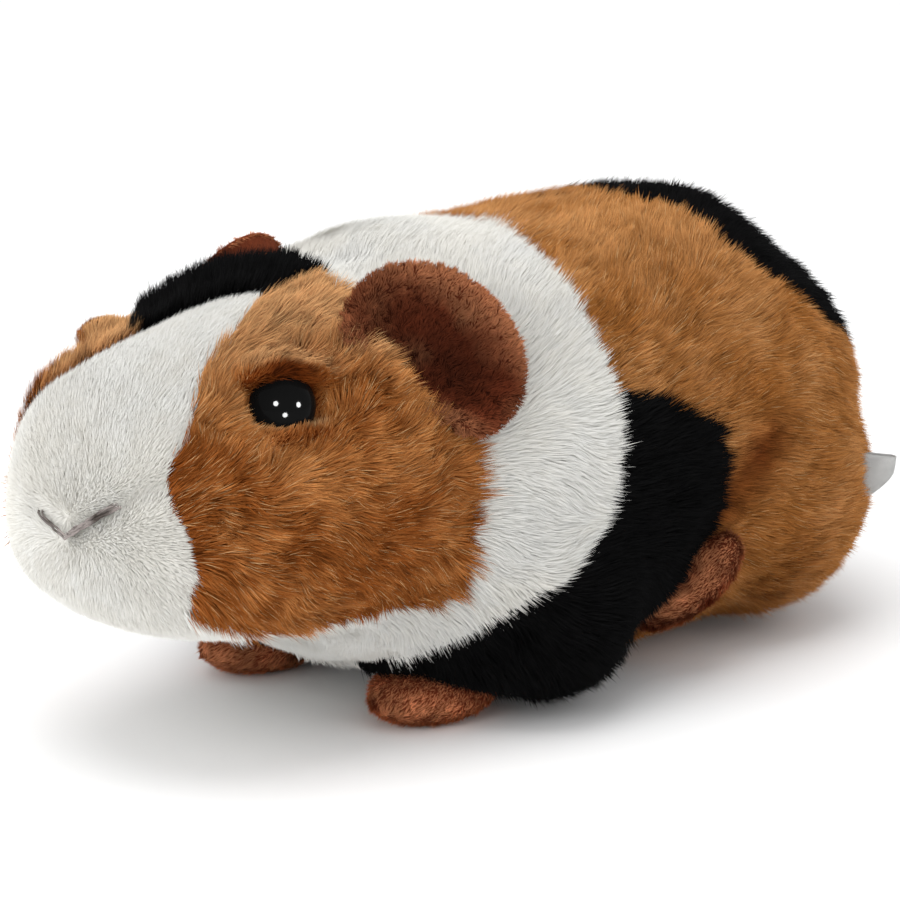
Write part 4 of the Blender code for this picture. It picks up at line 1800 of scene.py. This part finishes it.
@dataclass
class SideLabel:
    """A plain strip of white ribbon, folded into a loop with both ends in the seam."""

    root: Place = (46.2, 71.35, 30.5)
    outward: Place = (0.73, 0.68, -0.12)
    reach: float = 9.0
    sunk: float = 3.0
    width: float = 10.0
    open_half: float = 1.6
    pinch: float = 0.25
    ripple: float = 0.25
    droop: float = 6.0
    droop_from: float = 2.0
    droop_span: float = 7.0
    thickness: float = 0.25
    steps: int = 18
    rows: int = 12
    weave_scale: float = 0.1
    colour: Colour = (0.92, 0.92, 0.90)
    thing: bpy.types.Object = field(init=False)

    def profile(self) -> list[Pair]:
        """The folded strip seen from its edge: out along one leaf, round the fold, and back."""
        straight = self.reach - self.open_half
        leaf = []
        for step in range(self.steps):
            bow = math.sin(math.pi / 2 * step / self.steps) ** 0.7
            leaf.append((straight * step / self.steps, self.open_half * bow))
        fold = []
        for angle in np.linspace(0, math.pi, self.steps):
            fold.append((straight + self.open_half * math.sin(angle), self.open_half * math.cos(angle)))
        back = [(x, -y) for x, y in reversed(leaf)]
        return leaf + fold + back

    def length(self) -> float:
        """The strip's length along its fold."""
        path = np.array(self.profile())
        return float(np.linalg.norm(np.diff(path, axis=0), axis=1).sum())

    def build(self) -> bpy.types.Object:
        """Extrudes the folded profile across the ribbon's width, and gives it a thickness."""
        form = bmesh.new()
        points = [form.verts.new((x, y, -self.width / 2)) for x, y in self.profile()]
        edges = [form.edges.new(pair) for pair in zip(points[:-1], points[1:])]
        weave = form.loops.layers.uv.new("weave")
        for _ in range(self.rows):
            moved, edges = extruded(form, edges)
            bmesh.ops.translate(form, verts=moved, vec=(0, 0, self.width / self.rows))
        for point in form.verts:
            self._bend(point)
        for face in form.faces:
            for corner in face.loops:
                corner[weave].uv = (corner.vert.co.z * self.weave_scale, corner.vert.co.x * self.weave_scale)
        outward = Vector(self.outward).normalized()
        turn = outward.to_track_quat("X", "Z").to_matrix().to_4x4()
        place = Matrix.Translation(Vector(self.root) - outward * self.sunk)
        form.transform(Matrix.Scale(MM, 4) @ place @ turn)
        bmesh.ops.recalc_face_normals(form, faces=form.faces)
        self.thing = shaped("ribbon_label", form)
        wall = self.thing.modifiers.new("thickness", "SOLIDIFY")
        wall.thickness = self.thickness * MM
        wall.offset = 0
        return self.thing

    def _bend(self, point: bmesh.types.BMVert) -> None:
        """Pinches a point of the loop in towards the edges, ripples it, and lets its lower corner hang."""
        edge = abs(point.co.z) / (self.width / 2)
        point.co.y *= 1 - self.pinch * edge**2
        point.co.y += self.ripple * math.sin(point.co.x * 0.9) * (point.co.z / self.width)
        low = max((self.droop_from - point.co.z) / self.droop_span, 0.0)
        point.co.x -= self.droop * low**1.5

    def dress(self) -> bpy.types.Object:
        """Gives the ribbon its satin, and works out the size it was cut to, which nothing uses."""
        finish = RibbonFinish("satin_ribbon", self.colour)
        finished(self.thing, finish.make(), ("label",))
        flat = (self.width * MM, self.length() * MM)
        return self.thing


# Studio


@dataclass(frozen=True)
class Softbox:
    """A round soft light, placed by its direction from the toy in the camera's own terms.

    A sparkle lights the button eyes alone, and the others leave no reflection in them.
    """

    name: str
    right: float
    up: float
    back: float
    distance: float
    size: float
    power: float
    sparkle: bool = False


@dataclass
class Studio:
    """The camera, the lights, the sky and the floor."""

    target: Place = (9.215, -9.615, 44.519)
    azimuth: float = 43.0
    elevation: float = 14.0
    distance: float = 602.68
    lens: float = 128.2
    sensor: float = 36.0
    floor_size: float = 8000.0
    sky: float = 0.88
    softboxes: tuple[Softbox, ...] = (
        Softbox("key_softbox", -0.67, 0.35, 0.73, 1400, 1100, 6.0),
        Softbox("top_softbox", -0.1, 0.95, 0.25, 1500, 1400, 12.0),
        Softbox("left_sparkle", -0.26, 0.17, 0.95, 1300, 340, 140.0, True),
        Softbox("right_sparkle", 0.83, 0.115, 0.55, 1300, 340, 140.0, True),
        Softbox("low_sparkle", 0.038, -0.30, 0.953, 195, 40, 1.9, True),
    )
    eyes: bpy.types.Collection = field(init=False)

    def directions(self) -> tuple[Vector, Vector, Vector]:
        """The camera's right, up and backward directions."""
        turn, rise = math.radians(self.azimuth), math.radians(self.elevation)
        level = math.cos(rise)
        back = Vector((math.sin(turn) * level, -math.cos(turn) * level, math.sin(rise)))
        right = Vector((0, 0, 1)).cross(back).normalized()
        return right, back.cross(right), back

    def build(self, eyes: list[bpy.types.Object]) -> bpy.types.Object:
        """Sets up the camera, lights, sky and floor.

        Args:
            eyes: The button eyes, which the sparkles light.

        Returns:
            The camera.
        """
        self.eyes = bpy.data.collections.new("eyes")
        for eye in eyes:
            self.eyes.objects.link(eye)
        target = Vector(self.target) * MM
        axes = self.directions()
        data = bpy.data.cameras.new("camera")
        data.lens = self.lens
        data.sensor_width = self.sensor
        data.clip_start, data.clip_end = 0.01, 50
        camera = bpy.data.objects.new("camera", data)
        place = Matrix.Translation(target + axes[2] * self.distance * MM)
        camera.matrix_world = place @ Matrix(axes).transposed().to_4x4()
        bpy.context.scene.collection.objects.link(camera)
        bpy.context.scene.camera = camera
        bpy.context.scene.view_settings.view_transform = "Standard"
        for box in self.softboxes:
            self._light(box, target, *axes)
        self._sky()
        self._floor()
        return camera

    def _light(self, box: Softbox, target: Vector, right: Vector, up: Vector, back: Vector) -> None:
        """Hangs one softbox, facing the toy."""
        data = bpy.data.lights.new(box.name, "AREA")
        data.energy = box.power
        data.shape = "DISK"
        data.size = box.size * MM
        way = (right * box.right + up * box.up + back * box.back).normalized()
        light = bpy.data.objects.new(box.name, data)
        light.visible_glossy = box.sparkle
        light.visible_camera = False
        if box.sparkle:
            light.light_linking.receiver_collection = self.eyes
        light.location = target + way * box.distance * MM
        light.rotation_mode = "QUATERNION"
        light.rotation_quaternion = way.to_track_quat("Z", "Y")
        bpy.context.scene.collection.objects.link(light)

    def _sky(self) -> None:
        """An even pale sky all round."""
        world = bpy.data.worlds.new("studio")
        world.use_nodes = True
        sky = world.node_tree.nodes["Background"]
        sky.inputs["Color"].default_value = (1, 1, 1, 1)
        sky.inputs["Strength"].default_value = self.sky
        bpy.context.scene.world = world

    def _floor(self) -> None:
        """A wide pale floor under the toy."""
        form = bmesh.new()
        bmesh.ops.create_grid(form, x_segments=8, y_segments=8, size=self.floor_size / 2 * MM)
        floor = shaped("floor", form)
        floor.data.materials.append(FloorFinish("paper_floor", (0.95, 0.95, 0.95)).make())


def main() -> None:
    """Builds the toy from the skin outwards, then the studio, and reports each piece."""
    logging.basicConfig(level=logging.INFO, format="%(name)s: %(message)s")
    skin = Skin()
    skin.build()
    Coat(skin).build()
    skin.dress()
    eyes = []
    for side in SIDES:
        ear = Ear(side)
        ear.build()
        ear.dress()
        eye = ButtonEye(side)
        eyes.append(eye.build())
        eye.dress()
    for paw in PAWS:
        paw.build()
        paw.dress()
    stitches = MouthStitches()
    stitches.build()
    stitches.dress()
    label = SideLabel()
    label.build()
    label.dress()
    Studio().build(eyes)


if __name__ == "__main__":
    main()
